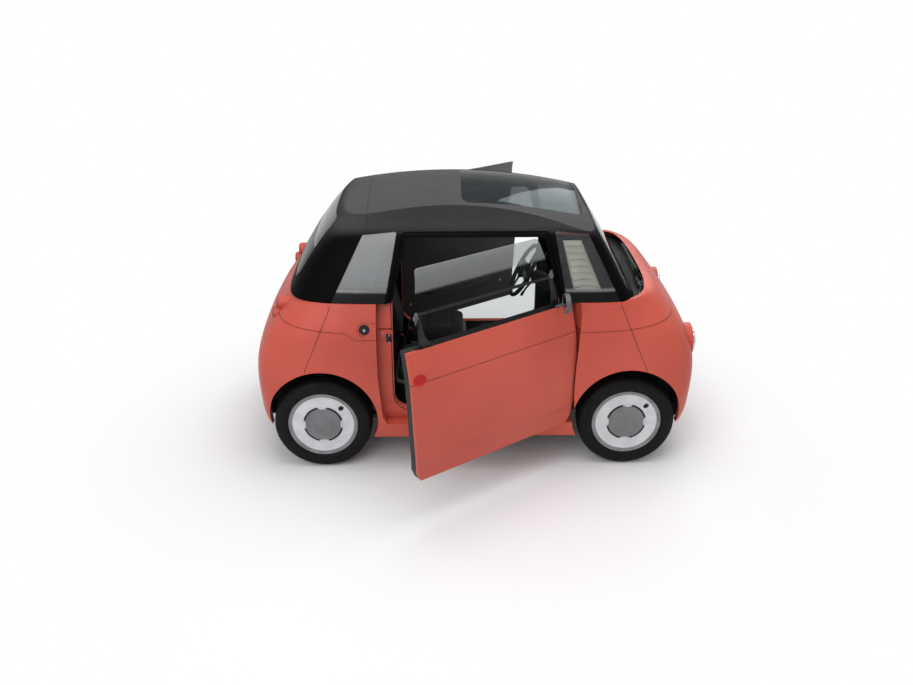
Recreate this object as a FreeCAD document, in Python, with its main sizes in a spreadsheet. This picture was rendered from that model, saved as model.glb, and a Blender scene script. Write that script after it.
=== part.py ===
import FreeCAD, Part
import math
import os
import re

import Sketcher

# Two-seat electric microcar. +X forward, +Y to its left, +Z up, in millimetres.
# The origin is on the floor, midway between the axles. The doors stand open at rest.

doc = FreeCAD.newDocument("microcar")
sheet = doc.addObject("Spreadsheet::Sheet", "sizes")

bodySizes = (
    ("bodyLength", 2535),
    ("bodyWidth", 1400),
    ("bodyHeight", 1530),
    ("wheelbase", 1730),
    ("trackWidth", 1175),
    ("holderStand", 14),
    ("sillHeight", 195),
    ("bumperHeight", 258),
    ("beltHeight", 1008),
    ("rimHeight", 1030),
    ("rimStart", 800),
    ("rimEnd", 950),
    ("capWall", 22),
    ("sideWall", 108),
    ("panelGap", 0.8),
    ("splitTop", 785),
    ("splitFoot", 940),
    ("splitHeight", 640),
    ("archRadius", 308),
    ("archInset", 8),
    ("archHeight", 325),
    ("overrun", 400),
)

roofSizes = (
    ("screenReach", 895),
    ("hoopReach", 1050),
    ("waistHalf", 624),
    ("roofWall", 30),
    ("glassDepth", 2),
    ("glassThick", 5),
    ("crownRadius", 1510),
    ("spanRadius", 3330),
    ("crownSetback", 130),
    ("hoopJoint", 590),
    ("windowTop", 1372),
    ("windowTopOuter", 1356),
    ("windowTopNear", 423),
    ("windowTopFar", 606),
    ("windowFootNear", 493),
    ("windowFootFar", 784),
    ("windowCorner", 8),
    ("screenFoot", 1036),
    ("screenHead", 1422),
    ("screenHeadSide", 1368),
    ("screenBow", 1900),
    ("screenFootHalf", 570),
    ("screenHeadHalf", 412),
    ("screenCorner", 40),
    ("backFoot", 1075),
    ("backHead", 1405),
    ("backFootHalf", 430),
    ("backHeadHalf", 360),
    ("backCorner", 70),
    ("skyFront", 592),
    ("skyRear", 72),
    ("skyHalf", 348),
    ("skyCorner", 55),
)

doorSizes = (
    ("doorHalf", 535),
    ("doorFoot", 300),
    ("doorDepth", 62),
    ("doorSkin", 20),
    ("doorOpenAngle", 35),
    ("shutGap", 7),
    ("sealGap", 6),
    ("hingeReach", 512),
    ("hingeOut", 655),
    ("noseRadius", 45),
    ("noseGap", 13),
    ("entryHalf", 455),
    ("entryFoot", 365),
    ("entryHead", 1340),
    ("entryHeadHalf", 372),
    ("entryCorner", 90),
    ("entryHeadCorner", 40),
    ("paneFootHalf", 470),
    ("paneHeadHalf", 386),
    ("paneHead", 1366),
    ("paneTuck", 45),
    ("paneCorner", 22),
    ("paneGap", 6),
    ("paneRebate", 14),
    ("paneDepth", 3),
    ("paneThick", 4),
    ("barHeight", 1166),
    ("barTall", 12),
    ("hingeLow", 440),
    ("hingeHigh", 690),
    ("leafThick", 12),
    ("leafWidth", 24),
    ("leafGap", 5),
    ("pinRadius", 5),
    ("pinLength", 48),
    ("pinFit", 0.05),
    ("mirrorRadius", 53),
    ("mirrorDepth", 26),
    ("mirrorAhead", 432),
    ("mirrorOut", 702),
    ("mirrorHeight", 1056),
    ("mirrorAngle", 30),
    ("mirrorAngleNear", 18),
    ("stemRadius", 7),
)

wheelSizes = (
    ("tyreRadius", 278.5),
    ("tyreWidth", 155),
    ("tyreShoulder", 128),
    ("seatRadius", 178),
    ("flangeRadius", 197),
    ("beadHalf", 62),
    ("rimWall", 4),
    ("wellRadius", 158),
    ("discFace", 53),
    ("capRadius", 100),
    ("capStand", 5),
    ("hubRadius", 62),
    ("hubBore", 16),
    ("hubInner", 8),
    ("hubOuter", 44),
    ("spindleFit", 0.05),
    ("carrierRadius", 52),
    ("carrierThick", 26),
    ("wheelGap", 5),
)

runningSizes = (
    ("floorHeight", 262),
    ("floorThick", 26),
    ("railOut", 300),
    ("railWidth", 44),
    ("railTall", 62),
    ("railReach", 1090),
    ("crossReach", 470),
    ("housingRadius", 325),
    ("housingSheet", 3),
    ("housingInner", 352),
    ("housingOuter", 603),
    ("housingAhead", 862),
    ("housingHeight", 315),
    ("housingSkirt", 420),
    ("towerOut", 322),
    ("towerSheet", 14),
    ("towerWide", 130),
    ("shelfHeight", 648),
    ("shelfThick", 10),
    ("shelfOut", 520),
    ("kingTilt", 11),
    ("kingFootOut", 552),
    ("kingFootHeight", 176),
    ("strutRadius", 20),
    ("strutRodRadius", 9),
    ("strutFoot", 150),
    ("strutTop", 350),
    ("damperShare", 0.55),
    ("uprightOut", 500),
    ("uprightFoot", 182),
    ("uprightTall", 215),
    ("springRadius", 46),
    ("ballRadius", 13),
    ("armThick", 22),
    ("armReach", 120),
    ("rackBehind", 120),
    ("rackHeight", 284),
    ("rackRadius", 9),
    ("rackTube", 20),
    ("rackFit", 0.05),
    ("tieEnd", 478),
    ("batteryLong", 620),
    ("batteryWide", 500),
    ("batteryTall", 66),
    ("batteryBehind", 60),
    ("motorRadius", 92),
    ("motorLong", 250),
    ("motorRise", 40),
    ("gearShare", 0.8),
    ("gearLongShare", 0.6),
    ("gearOutShare", 0.4),
    ("shaftRadius", 12),
    ("bootRadius", 32),
    ("bootLong", 60),
    ("beamRadius", 20),
    ("beamAhead", 330),
    ("beamArmOut", 430),
    ("damperRadius", 22),
)

cabinSizes = (
    ("cushionLong", 400),
    ("cushionWide", 410),
    ("cushionTall", 95),
    ("cushionTop", 525),
    ("backTall", 560),
    ("backThick", 85),
    ("backLean", 14),
    ("seatOut", 262),
    ("seatFront", -20),
    ("seatStagger", 50),
    ("plinthInset", 30),
    ("dashBack", 575),
    ("dashFront", 870),
    ("dashTop", 985),
    ("dashFoot", 730),
    ("dashHalf", 520),
    ("bulkheadAt", 880),
    ("toeBoardAt", 700),
    ("bulkheadStep", 664),
    ("bulkheadThick", 10),
    ("shelfFace", 640),
    ("rearShelfHeight", 690),
    ("rearShelfThick", 12),
    ("wheelCentreAhead", 340),
    ("wheelCentreHeight", 860),
    ("wheelTilt", 28),
    ("gripRadius", 172),
    ("gripThick", 13),
    ("bossRadius", 46),
    ("bossThick", 34),
    ("spokeWide", 34),
    ("spokeThick", 12),
    ("columnRadius", 24),
    ("columnLong", 300),
    ("padFootBack", 530),
    ("padFootFront", 705),
    ("padHeadBack", 462),
    ("padHeadFront", 575),
    ("padHead", 1322),
    ("padInset", 14),
    ("padThick", 55),
    ("padRound", 18),
    ("dashRound", 70),
    ("pedalWide", 60),
    ("pedalTall", 80),
    ("pedalThick", 12),
    ("leverLong", 190),
    ("leverThick", 26),
)

trimSizes = (
    ("lampAcross", 447),
    ("lampHeight", 700),
    ("lampRadius", 62),
    ("lampProud", 18),
    ("lampBulge", 190),
    ("lampDeep", 60),
    ("lidRadius", 100),
    ("lidProud", 15),
    ("lidBulge", 300),
    ("lowLampHeight", 492),
    ("lowLampRadius", 40),
    ("lowLampProud", 9),
    ("lowLampBulge", 120),
    ("dotAcross", 500),
    ("dotHeight", 340),
    ("dotRadius", 22),
    ("dotProud", 5),
    ("dotDeep", 40),
    ("tailAcross", 440),
    ("tailHeight", 950),
    ("tailLowHeight", 888),
    ("tailRadius", 38),
    ("tailProud", 42),
    ("tailLowProud", 18),
    ("tailBulge", 90),
    ("holderWide", 360),
    ("holderTall", 180),
    ("holderHeight", 420),
    ("holderDeep", 60),
    ("lightRadius", 16),
    ("lightShare", 0.9),
    ("cowlBack", 880),
    ("cowlHeight", 975),
    ("cowlThick", 8),
    ("wiperAhead", 940),
    ("wiperHeight", 983),
    ("wiperLong", 430),
    ("wiperThick", 8),
    ("hookAcross", 250),
    ("hookHeight", 400),
    ("hookRadius", 9),
    ("hookDeep", 18),
)

groups = (bodySizes, roofSizes, doorSizes, wheelSizes, runningSizes, cabinSizes, trimSizes)
row = 0
for group in groups:
    for alias, value in group:
        row += 1
        sheet.set("A%d" % row, alias)
        sheet.set("B%d" % row, str(value))
        sheet.setAlias("B%d" % row, alias)
doc.recompute()

nodes = {}
X = FreeCAD.Vector(1, 0, 0)
Y = FreeCAD.Vector(0, 1, 0)
Z = FreeCAD.Vector(0, 0, 1)


def size(alias):
    """One length or angle of the sheet."""
    return float(getattr(sheet, alias))


def linked(text):
    """A sheet expression from one written with bare aliases."""
    return re.sub(r"[A-Za-z]+", lambda word: "sizes." + word.group(0), text)


def bind(item, **links):
    """Ties properties of a document object to the sheet."""
    for name, text in links.items():
        item.setExpression(name, linked(text))
    return item


def place(item, x="0", y="0", z="0", turn=None):
    """Binds a placement's base, with an optional fixed turn."""
    if turn is not None:
        item.Placement = FreeCAD.Placement(FreeCAD.Vector(), turn)
    for axis, text in (("x", x), ("y", y), ("z", z)):
        item.setExpression("Placement.Base." + axis, linked(text))
    return item


def keep(name, item):
    """Makes a document object a node of the part."""
    item.Label = name
    nodes[name] = item
    return item


def feature(name, shape):
    """A form that only surfaces can make, held by the document."""
    item = doc.addObject("Part::Feature", name)
    item.Shape = shape
    return item


def box(name, x, y, z, length, width, height):
    item = doc.addObject("Part::Box", name)
    bind(item, Length=length, Width=width, Height=height)
    return place(item, x, y, z)


def rod(name, radius, height, x="0", y="0", z="0", turn=None):
    item = doc.addObject("Part::Cylinder", name)
    bind(item, Radius=radius, Height=height)
    return place(item, x, y, z, turn)


def largest(shape):
    """The shape's main solid, without the crumbs that a cut can leave."""
    return max(shape.Solids, key=lambda solid: solid.Volume)


def fuse(name, items):
    item = doc.addObject("Part::MultiFuse", name)
    item.Shapes = items
    return item


def cut(name, base, tool):
    item = doc.addObject("Part::Cut", name)
    item.Base = base
    item.Tool = tool
    return item


def common(name, base, tool):
    item = doc.addObject("Part::Common", name)
    item.Base = base
    item.Tool = tool
    return item


def group(name, items):
    """Like pieces of one body that do not touch."""
    item = doc.addObject("Part::Compound", name)
    item.Links = items
    return item


alongY = FreeCAD.Rotation(X, -90)
againstY = FreeCAD.Rotation(X, 90)
alongX = FreeCAD.Rotation(Y, 90)


def sketchOn(body, role, points):
    """A closed outline on one of the body's planes, each corner bound to the sheet."""
    sketch = body.newObject("Sketcher::SketchObject", body.Name + "Outline")
    plane = [item for item in body.Origin.OriginFeatures if item.Role == role][0]
    sketch.AttachmentSupport = [(plane, "")]
    sketch.MapMode = "FlatFace"
    count = len(points)
    start = [FreeCAD.Vector(math.cos(2 * math.pi * i / count), math.sin(2 * math.pi * i / count), 0)
             for i in range(count)]
    for i in range(count):
        sketch.addGeometry(Part.LineSegment(start[i], start[(i + 1) % count]), False)
    for i in range(count):
        sketch.addConstraint(Sketcher.Constraint("Coincident", i, 2, (i + 1) % count, 1))
    for i, corner in enumerate(points):
        for kind, text in zip(("DistanceX", "DistanceY"), corner):
            held = sketch.addConstraint(Sketcher.Constraint(kind, -1, 1, i, 1, 1.0))
            sketch.setExpression("Constraints[%d]" % held, linked(text))
    return sketch


def padded(name, role, points, depth, both=True):
    """A body padded from an outline, to both sides of its plane by default."""
    body = doc.addObject("PartDesign::Body", name)
    sketch = sketchOn(body, role, points)
    pad = body.newObject("PartDesign::Pad", name + "Pad")
    pad.Profile = sketch
    pad.SideType = "Symmetric" if both else "One side"
    bind(pad, Length=depth)
    return body


def revolved(name, points):
    """A body turned about the upright axis of its outline."""
    body = doc.addObject("PartDesign::Body", name)
    sketch = sketchOn(body, "XZ_Plane", points)
    turned = body.newObject("PartDesign::Revolution", name + "Turned")
    turned.Profile = sketch
    turned.ReferenceAxis = (sketch, ["V_Axis"])
    turned.Angle = 360
    return body


def roundedFace(points, radius, lift):
    """A face from plan points with every corner rounded, lift putting a point into space."""
    radii = radius if isinstance(radius, (list, tuple)) else [radius] * len(points)
    flat = [FreeCAD.Vector(x, y, 0) for x, y in points]
    count = len(flat)
    legs = []
    for i, corner in enumerate(flat):
        before = (flat[i - 1] - corner).normalize()
        after = (flat[(i + 1) % count] - corner).normalize()
        half = before.getAngle(after) / 2
        if radii[i] == 0:
            legs.append((corner, None, corner))
            continue
        reach = radii[i] / math.tan(half)
        middle = (before + after).normalize() * (radii[i] / math.sin(half) - radii[i])
        legs.append((corner + before * reach, corner + middle, corner + after * reach))
    edges = []
    for i, (start, middle, end) in enumerate(legs):
        if middle is not None:
            edges.append(Part.Arc(lift(start), lift(middle), lift(end)).toShape())
        onward = legs[(i + 1) % count][0]
        edges.append(Part.LineSegment(lift(end), lift(onward)).toShape())
    return Part.Face(Part.Wire(edges))


def sidePrism(points, radius, low, high):
    """Side outline points (x, z), swept from y low to y high."""
    face = roundedFace(points, radius, lambda p: FreeCAD.Vector(p.x, low, p.y))
    return face.extrude(Y * (high - low))


def endPrism(points, radius, low, high):
    """End outline points (y, z), swept from x low to x high."""
    face = roundedFace(points, radius, lambda p: FreeCAD.Vector(low, p.x, p.y))
    return face.extrude(X * (high - low))


def planPrism(points, radius, low, high):
    """Plan outline points (x, y), swept from z low to z high."""
    face = roundedFace(points, radius, lambda p: FreeCAD.Vector(p.x, p.y, low))
    return face.extrude(Z * (high - low))


# The body shell's two forms: the lower body and the roof, each a loft of level rings.

ringCount = 72
endBowShare = 0.03


def ring(height, front, rear, half, frontSquare, rearSquare):
    """A level ring, nearly a rectangle with bowed ends; a higher square is a tighter corner."""
    points = []
    for i in range(ringCount):
        angle = 2 * math.pi * i / ringCount
        along = math.cos(angle)
        across = math.sin(angle)
        square = frontSquare if along > 0 else rearSquare
        reach = (abs(along) ** square + abs(across) ** square) ** (-1 / square)
        length = front if along > 0 else rear
        bow = 1 - endBowShare * (reach * across) ** 2
        points.append(FreeCAD.Vector(length * reach * along * bow, half * reach * across, height))
    curve = Part.BSplineCurve()
    knots = [float(i) for i in range(ringCount + 1)]
    curve.interpolate(Points=points, PeriodicFlag=True, Parameters=knots)
    # four sides and four corners
    eighth = ringCount // 8
    turns = [eighth * share for share in (0.7, 1.3, 2.7, 3.3, 4.7, 5.3, 6.7, 7.3, 8.7)]
    pieces = []
    for start, end in zip(turns, turns[1:]):
        piece = curve.copy()
        piece.segment(start, end)
        pieces.append(piece.toShape())
    return Part.Wire(pieces)


def layer(form, outer, inner):
    """The wall between two insets of a form, closed just beyond the form's flat ends."""
    spare = size("panelGap")
    shells = [form(outer, 2 * spare).Shells[0], form(inner, spare).Shells[0].reversed()]
    return Part.makeSolid(Part.makeCompound(shells))


lowerShares = (
    (0.000, 0.960, 0.931, 12.0),
    (0.108, 0.983, 0.966, 12.0),
    (0.246, 0.996, 0.991, 11.5),
    (0.401, 1.000, 1.000, 11.5),
    (0.557, 0.993, 0.996, 11.0),
    (0.677, 0.968, 0.985, 10.0),
    (0.784, 0.926, 0.969, 9.0),
    (0.874, 0.880, 0.943, 7.5),
    (0.964, 0.830, 0.912, 6.6),
    (1.000, 0.782, 0.896, 6.2),
)


def lowerForm(inset, spare=0):
    """The lower body inside its outer face by the inset, its flat ends moved out by spare."""
    tall = size("rimHeight") - size("sillHeight")
    front = size("bodyLength") / 2
    rear = front - size("holderStand")
    wide = size("bodyWidth") / 2
    rings = []
    for heightShare, lengthShare, widthShare, square in lowerShares:
        height = size("sillHeight") + tall * heightShare
        if heightShare in (0, 1):
            height += spare * (2 * heightShare - 1)
        rings.append(ring(height, front * lengthShare - inset, rear * lengthShare - inset,
                          wide * widthShare - inset, square, square))
    return Part.makeLoft(rings, True, False)


roofShares = (
    (0.000, 1.000, 1.000, 1.000),
    (0.058, 0.979, 0.986, 0.986),
    (0.117, 0.958, 0.971, 0.972),
    (0.176, 0.936, 0.955, 0.957),
    (0.250, 0.910, 0.933, 0.937),
    (0.330, 0.883, 0.908, 0.915),
    (0.502, 0.822, 0.848, 0.866),
    (0.667, 0.761, 0.782, 0.809),
    (0.770, 0.717, 0.735, 0.724),
    (0.837, 0.675, 0.703, 0.665),
    (0.885, 0.626, 0.667, 0.623),
    (0.923, 0.581, 0.621, 0.590),
    (0.962, 0.536, 0.567, 0.556),
    (1.029, 0.469, 0.476, 0.498),
)
frontSquare = 14.0
rearSquare = 7.0


def roofForm(inset, spare=0):
    """The roof with its windows, under a crown that is part of a large ring."""
    tall = size("bodyHeight") - size("beltHeight")
    rings = []
    for heightShare, frontShare, rearShare, widthShare in roofShares:
        rings.append(ring(
            size("beltHeight") + tall * heightShare - (0 if heightShare else spare),
            size("screenReach") * frontShare - inset,
            size("hoopReach") * rearShare - inset,
            size("waistHalf") * widthShare - inset,
            frontSquare, rearSquare))
    sides = Part.makeLoft(rings, True, False)
    middle = FreeCAD.Vector(-size("crownSetback"), 0, size("bodyHeight") - size("spanRadius"))
    outward = size("spanRadius") - size("crownRadius")
    crown = Part.makeTorus(outward, size("crownRadius") - inset, middle, Y)
    return sides.common(crown)


lower = lowerForm(0)
roof = roofForm(0)
beyond = size("bodyLength")
belt = size("beltHeight")
gap = size("panelGap")


def splitRegion(side, shift):
    """Everything past the slanted split line of one end cap, side +1 front or -1 rear."""
    points = [(size("splitTop"), 2 * belt), (size("splitTop"), belt),
              (size("splitFoot"), size("splitHeight")), (size("splitFoot"), 0),
              (beyond, 0), (beyond, 2 * belt)]
    points = [(side * (x + shift), z) for x, z in points]
    return sidePrism(points, 0, -beyond, beyond)


def archCut(side):
    """The round wheel arch through both sides."""
    middle = side * (size("wheelbase") / 2 - size("archInset"))
    return Part.makeCylinder(size("archRadius"), 2 * beyond,
                             FreeCAD.Vector(middle, -beyond, size("archHeight")), Y)


arches = archCut(1).fuse(archCut(-1))


def slab(low, high):
    """A level slice of everything."""
    return Part.makeBox(2 * beyond, 2 * beyond, high - low, FreeCAD.Vector(-beyond, -beyond, low))


capLayer = layer(lowerForm, 0, size("capWall"))


def endCap(side, top):
    region = splitRegion(side, 0).common(slab(size("bumperHeight"), top)).cut(arches)
    return capLayer.common(region)


roofSkirt = roofForm(-gap, gap)
rimWedge = sidePrism([(size("splitTop") - size("overrun"), belt), (size("rimStart"), belt),
                      (size("rimEnd"), size("rimHeight")), (size("rimEnd"), 2 * belt),
                      (size("splitTop") - size("overrun"), 2 * belt)], 0, -beyond, beyond)
hookHole = rod("hookHole", "hookRadius", "overrun", "bodyLength / 2 - overrun / 2", "-hookAcross",
               "hookHeight", alongX)
frontShell = feature("frontShell", largest(endCap(1, size("rimHeight")).cut([rimWedge, roofSkirt])))
rearShell = feature("rearShell", largest(endCap(-1, belt)))
rearHookHole = rod("rearHookHole", "hookRadius", "overrun", "-bodyLength / 2 - overrun / 2",
                   "hookAcross", "hookHeight", alongX)
keep("front_cap", cut("frontCap", frontShell, hookHole))
keep("rear_cap", cut("rearCap", rearShell, rearHookHole))

# Side panels: the whole wall, with the pocket that the closed door fills and the entry through it.

doorShares = ((0.920, 0.000), (0.961, 0.070), (0.996, 0.424), (1.000, 0.706), (0.987, 1.000))


def doorOutline(spread):
    """The door in side view, the same at both ends."""
    foot = size("doorFoot") - spread
    tall = belt - foot
    half = size("doorHalf") + spread
    edge = [(half * across, foot + tall * up) for across, up in doorShares]
    edge[-1] = (edge[-1][0], belt + (size("overrun") if spread else 0))
    return [(-x, z) for x, z in reversed(edge)] + edge


def entryPrism():
    """The way in, through the side panel and between the roof's pillars."""
    outline = [(-size("entryHalf"), belt), (-size("entryHalf"), size("entryFoot")),
               (size("entryHalf"), size("entryFoot")), (size("entryHalf"), belt),
               (size("entryHeadHalf"), size("entryHead")), (-size("entryHeadHalf"), size("entryHead"))]
    radii = [0, size("entryCorner"), size("entryCorner"), 0,
             size("entryHeadCorner"), size("entryHeadCorner")]
    return sidePrism(outline, radii, -beyond, beyond)


def hingeLine(side):
    """Foot of a door's hinge axis: side -1 the right door, +1 the left door."""
    return FreeCAD.Vector(-side * size("hingeReach"), side * size("hingeOut"), 0)


entry = entryPrism()
sideInner = lowerForm(size("sideWall"))


sideLayer = layer(lowerForm, 0, size("sideWall"))
pocketLayer = layer(lowerForm, -gap, size("doorDepth") + size("sealGap"))
pocket = pocketLayer.common(sidePrism(doorOutline(size("shutGap")), 0, -beyond, beyond))


def sidePanel(side):
    """side -1 is the car's right, +1 its left."""
    region = Part.makeBox(2 * beyond, beyond, belt - size("sillHeight"),
                          FreeCAD.Vector(-beyond, 0 if side > 0 else -beyond, size("sillHeight")))
    region = region.cut([splitRegion(1, -gap), splitRegion(-1, -gap), arches, entry])
    foot = hingeLine(side) + Z * (size("doorFoot") - size("shutGap"))
    nose = Part.makeCylinder(size("noseRadius") + size("noseGap"), belt, foot, Z)
    return sideLayer.common(region.cut(nose)).cut(pocket)


keep("side_panel_right", feature("sidePanelRight", sidePanel(-1)))
keep("side_panel_left", feature("sidePanelLeft", sidePanel(1)))

# Roof frame, rear hoop and the fixed glass.

windowOutline = [(size("windowTopNear"), size("windowTop")),
                 (size("windowTopFar"), size("windowTopOuter")),
                 (size("windowFootFar"), belt), (size("windowFootNear"), belt)]
windowRadii = [size("windowCorner"), size("windowCorner"), 0, 0]
frontWindows = sidePrism(windowOutline, windowRadii, -beyond, beyond)
rearWindows = sidePrism([(-x, z) for x, z in windowOutline], windowRadii, -beyond, beyond)


screenOutline = [(-size("screenFootHalf"), size("screenFoot")), (size("screenFootHalf"), size("screenFoot")),
                 (size("screenHeadHalf"), size("screenHeadSide")), (0, size("screenHead")),
                 (-size("screenHeadHalf"), size("screenHeadSide"))]
screenRadii = [size("screenCorner")] * 3 + [size("screenBow"), size("screenCorner")]
screen = endPrism(screenOutline, screenRadii, 0, beyond)
backOutline = [(-size("backFootHalf"), size("backFoot")), (size("backFootHalf"), size("backFoot")),
               (size("backHeadHalf"), size("backHead")), (-size("backHeadHalf"), size("backHead"))]
back = endPrism(backOutline, size("backCorner"), -beyond, 0)
sky = planPrism([(-size("skyRear"), -size("skyHalf")), (size("skyFront"), -size("skyHalf")),
                 (size("skyFront"), size("skyHalf")), (-size("skyRear"), size("skyHalf"))],
                size("skyCorner"), size("entryHead"), 2 * belt)


def paneOutline(spread):
    """Door glass in side view, above the belt."""
    return [(-size("paneFootHalf") - spread, belt), (size("paneFootHalf") + spread, belt),
            (size("paneHeadHalf") + spread, size("paneHead") + spread),
            (-size("paneHeadHalf") - spread, size("paneHead") + spread)]


paneRadii = [0, 0, size("paneCorner"), size("paneCorner")]
rebate = sidePrism(paneOutline(size("paneGap")), paneRadii, -beyond, beyond)
rebate = rebate.cut(roofForm(size("paneRebate"), 2 * gap))
shell = layer(roofForm, 0, size("roofWall")).common(slab(belt, 2 * belt))
shell = shell.cut([entry, frontWindows, rearWindows, screen, back, sky]).cut(rebate)
hoopRegion = sidePrism([(-size("hoopJoint"), 2 * belt), (-size("hoopJoint"), size("windowTop")),
                        (-size("windowTopFar"), size("windowTopOuter")),
                        (-size("windowFootFar"), belt), (-beyond, belt), (-beyond, 2 * belt)],
                       0, -beyond, beyond)
keep("roof_frame", feature("roofFrame", shell.cut(hoopRegion)))
keep("rear_hoop", feature("rearHoop", shell.common(hoopRegion)))

glassLayer = layer(roofForm, size("glassDepth"), size("glassDepth") + size("glassThick"))
above = slab(belt, 2 * belt)
keep("windscreen", feature("windscreen", glassLayer.common(screen)))
keep("rear_window", feature("rearWindow", glassLayer.common(back)))
keep("roof_glass", feature("roofGlass", glassLayer.common(sky)))
quarters = glassLayer.common([frontWindows.common(above), rearWindows.common(above)])
keep("quarter_windows", feature("quarterWindows", Part.makeCompound(quarters.Solids)))

# Doors: one moulding, hinged in front on the right and behind on the left, shown open.

doorRing = sidePrism(doorOutline(0), 0, -beyond, beyond)


def doorRegion(side):
    """What the closed door fills, round its hinge line as a rule joint."""
    foot = hingeLine(side)
    start = foot.x if side > 0 else foot.x - beyond
    plain = Part.makeBox(beyond, beyond, belt, FreeCAD.Vector(start, 0 if side > 0 else -beyond, 0))
    nose = Part.makeCylinder(size("noseRadius"), belt, foot, Z)
    return plain.fuse(nose).common(doorRing)


def hingeSlots(side):
    """Room for the two hinge leaves and their pins in the door's nose."""
    foot = hingeLine(side)
    cutters = []
    for level in ("hingeLow", "hingeHigh"):
        tall = size("leafThick") + 2 * size("leafGap")
        wide = size("noseRadius") + size("leafWidth") / 2 + size("leafGap")
        low = foot.x - size("leafWidth") / 2 - size("leafGap")
        if side > 0:
            low = foot.x + size("leafWidth") / 2 + size("leafGap") - wide
        inward = foot.y - side * beyond if side > 0 else foot.y - size("leafWidth") / 2 - size("leafGap")
        if side > 0:
            inward = foot.y + size("leafWidth") / 2 + size("leafGap") - beyond
        cutters.append(Part.makeBox(wide, beyond, tall,
                                    FreeCAD.Vector(low, inward, size(level) - tall / 2)))
        cutters.append(Part.makeCylinder(size("pinRadius") + size("pinFit"), size("pinLength"),
                                         foot + Z * (size(level) - size("pinLength") / 2), Z))
    return cutters


def opened(shape, side):
    """The closed shape swung to where the door stands."""
    turned = shape.copy()
    turned.rotate(hingeLine(side), Z, size("doorOpenAngle"))
    return turned


doorLayer = layer(lowerForm, 0, size("doorSkin"))
liningLayer = layer(lowerForm, size("doorSkin") + gap, size("doorDepth"))
paneInner = roofForm(size("paneDepth") + size("paneThick"), 3 * gap)
barLayer = layer(roofForm, 0, size("paneDepth") + size("paneThick") + size("glassDepth"))
panePrism = sidePrism(paneOutline(0), paneRadii, -beyond, beyond)


def doorGlass(side):
    """The closed door's glass in its two panes, split by the bar."""
    region = panePrism.common(halfSpace(side))
    pane = roofForm(size("paneDepth"), 2 * gap).common(region)
    return pane.cut(paneInner).fuse(lowerPane(side))


def halfSpace(side):
    low = 0 if side > 0 else -beyond
    return Part.makeBox(2 * beyond, beyond, 2 * beyond, FreeCAD.Vector(-beyond, low, 0))


def lowerPane(side):
    """The straight foot of the glass, down inside the door."""
    out = size("waistHalf") - size("paneDepth")
    low = -out if side < 0 else out - size("paneThick")
    return Part.makeBox(2 * size("paneFootHalf"), size("paneThick"), size("paneTuck") + gap,
                        FreeCAD.Vector(-size("paneFootHalf"), low, belt - size("paneTuck")))


def door(side, word):
    region = doorRegion(side).cut(hingeSlots(side)).common(slab(0, belt - gap))
    skin = doorLayer.common(region).cut(lowerPane(side))
    lining = liningLayer.common(region).cut(lowerPane(side))
    glass = doorGlass(side)
    bar = slab(size("barHeight") - size("barTall") / 2, size("barHeight") + size("barTall") / 2)
    strip = barLayer.common(panePrism.common(bar).common(halfSpace(side)))
    keep("door_%s_skin" % word, feature(word + "DoorSkin", opened(skin, side)))
    inside = Part.makeCompound([largest(lining), largest(strip)])
    keep("door_%s_inner" % word, feature(word + "DoorInner", opened(inside, side)))
    keep("door_%s_glass" % word, feature(word + "DoorGlass", opened(glass.cut(strip), side)))


door(-1, "right")
door(1, "left")


def mirror(side, lookIn):
    """Round mirror on a short stem from the window's front corner, looking back and inward."""
    centre = FreeCAD.Vector(size("mirrorAhead"), side * size("mirrorOut"), size("mirrorHeight"))
    look = FreeCAD.Vector(-math.cos(math.radians(lookIn)), -side * math.sin(math.radians(lookIn)), 0)
    deep = size("mirrorDepth")
    head = Part.makeCylinder(size("mirrorRadius"), deep, centre - look * (deep / 2), look)
    rims = [edge for edge in head.Edges if edge.Closed and abs(edge.Length) > 0]
    rims = [edge for edge in rims if edge.Curve.TypeId == "Part::GeomCircle"]
    head = head.makeFillet(deep / 4, rims)
    start = FreeCAD.Vector(size("mirrorAhead"), side * (size("waistHalf") - size("doorSkin")),
                           belt - size("stemRadius"))
    line = centre - start
    stem = Part.makeCylinder(size("stemRadius"), line.Length, start, line)
    return head.fuse(stem)


def seatedMirror(side, word, lookIn):
    item = mirror(side, lookIn)
    for name in ("skin", "inner", "glass"):
        item = item.cut(nodes["door_%s_%s" % (word, name)].Shape.copy().rotated(
            hingeLine(side), Z, -size("doorOpenAngle")))
    solids = sorted(item.Solids, key=lambda solid: solid.Volume)
    keep("mirror_" + word, feature(word + "Mirror", opened(solids[-1], side)))


seatedMirror(-1, "right", size("mirrorAngle"))
seatedMirror(1, "left", size("mirrorAngleNear"))

# Hinge leaves with their upright pins, standing out from the side panel's inner wall.


def hingeLeaves(side):
    foot = hingeLine(side)
    inner = size("bodyWidth") / 2 - size("sideWall") + size("sealGap")
    solids = []
    for level in ("hingeLow", "hingeHigh"):
        middle = size(level)
        long = size("hingeOut") - inner
        low = foot.y if side < 0 else foot.y - long
        leaf = Part.makeBox(size("leafWidth"), long, size("leafThick"),
                            FreeCAD.Vector(foot.x - size("leafWidth") / 2, low,
                                           middle - size("leafThick") / 2))
        eye = Part.makeCylinder(size("leafWidth") / 2, size("leafThick"),
                                foot + Z * (middle - size("leafThick") / 2), Z)
        pin = Part.makeCylinder(size("pinRadius"), size("pinLength"),
                                foot + Z * (middle - size("pinLength") / 2), Z)
        solids.append(leaf.fuse(eye).fuse(pin))
    return solids


panels = nodes["side_panel_right"].Shape.fuse(nodes["side_panel_left"].Shape)
leaves = [leaf.cut(panels) for leaf in hingeLeaves(-1) + hingeLeaves(1)]
leaves = [largest(leaf) for leaf in leaves]
keep("door_hinges", feature("doorHinges", Part.makeCompound(leaves)))

# Wheels: tyre and steel rim, turned about the axle. The outline is (radius, outward).

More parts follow.
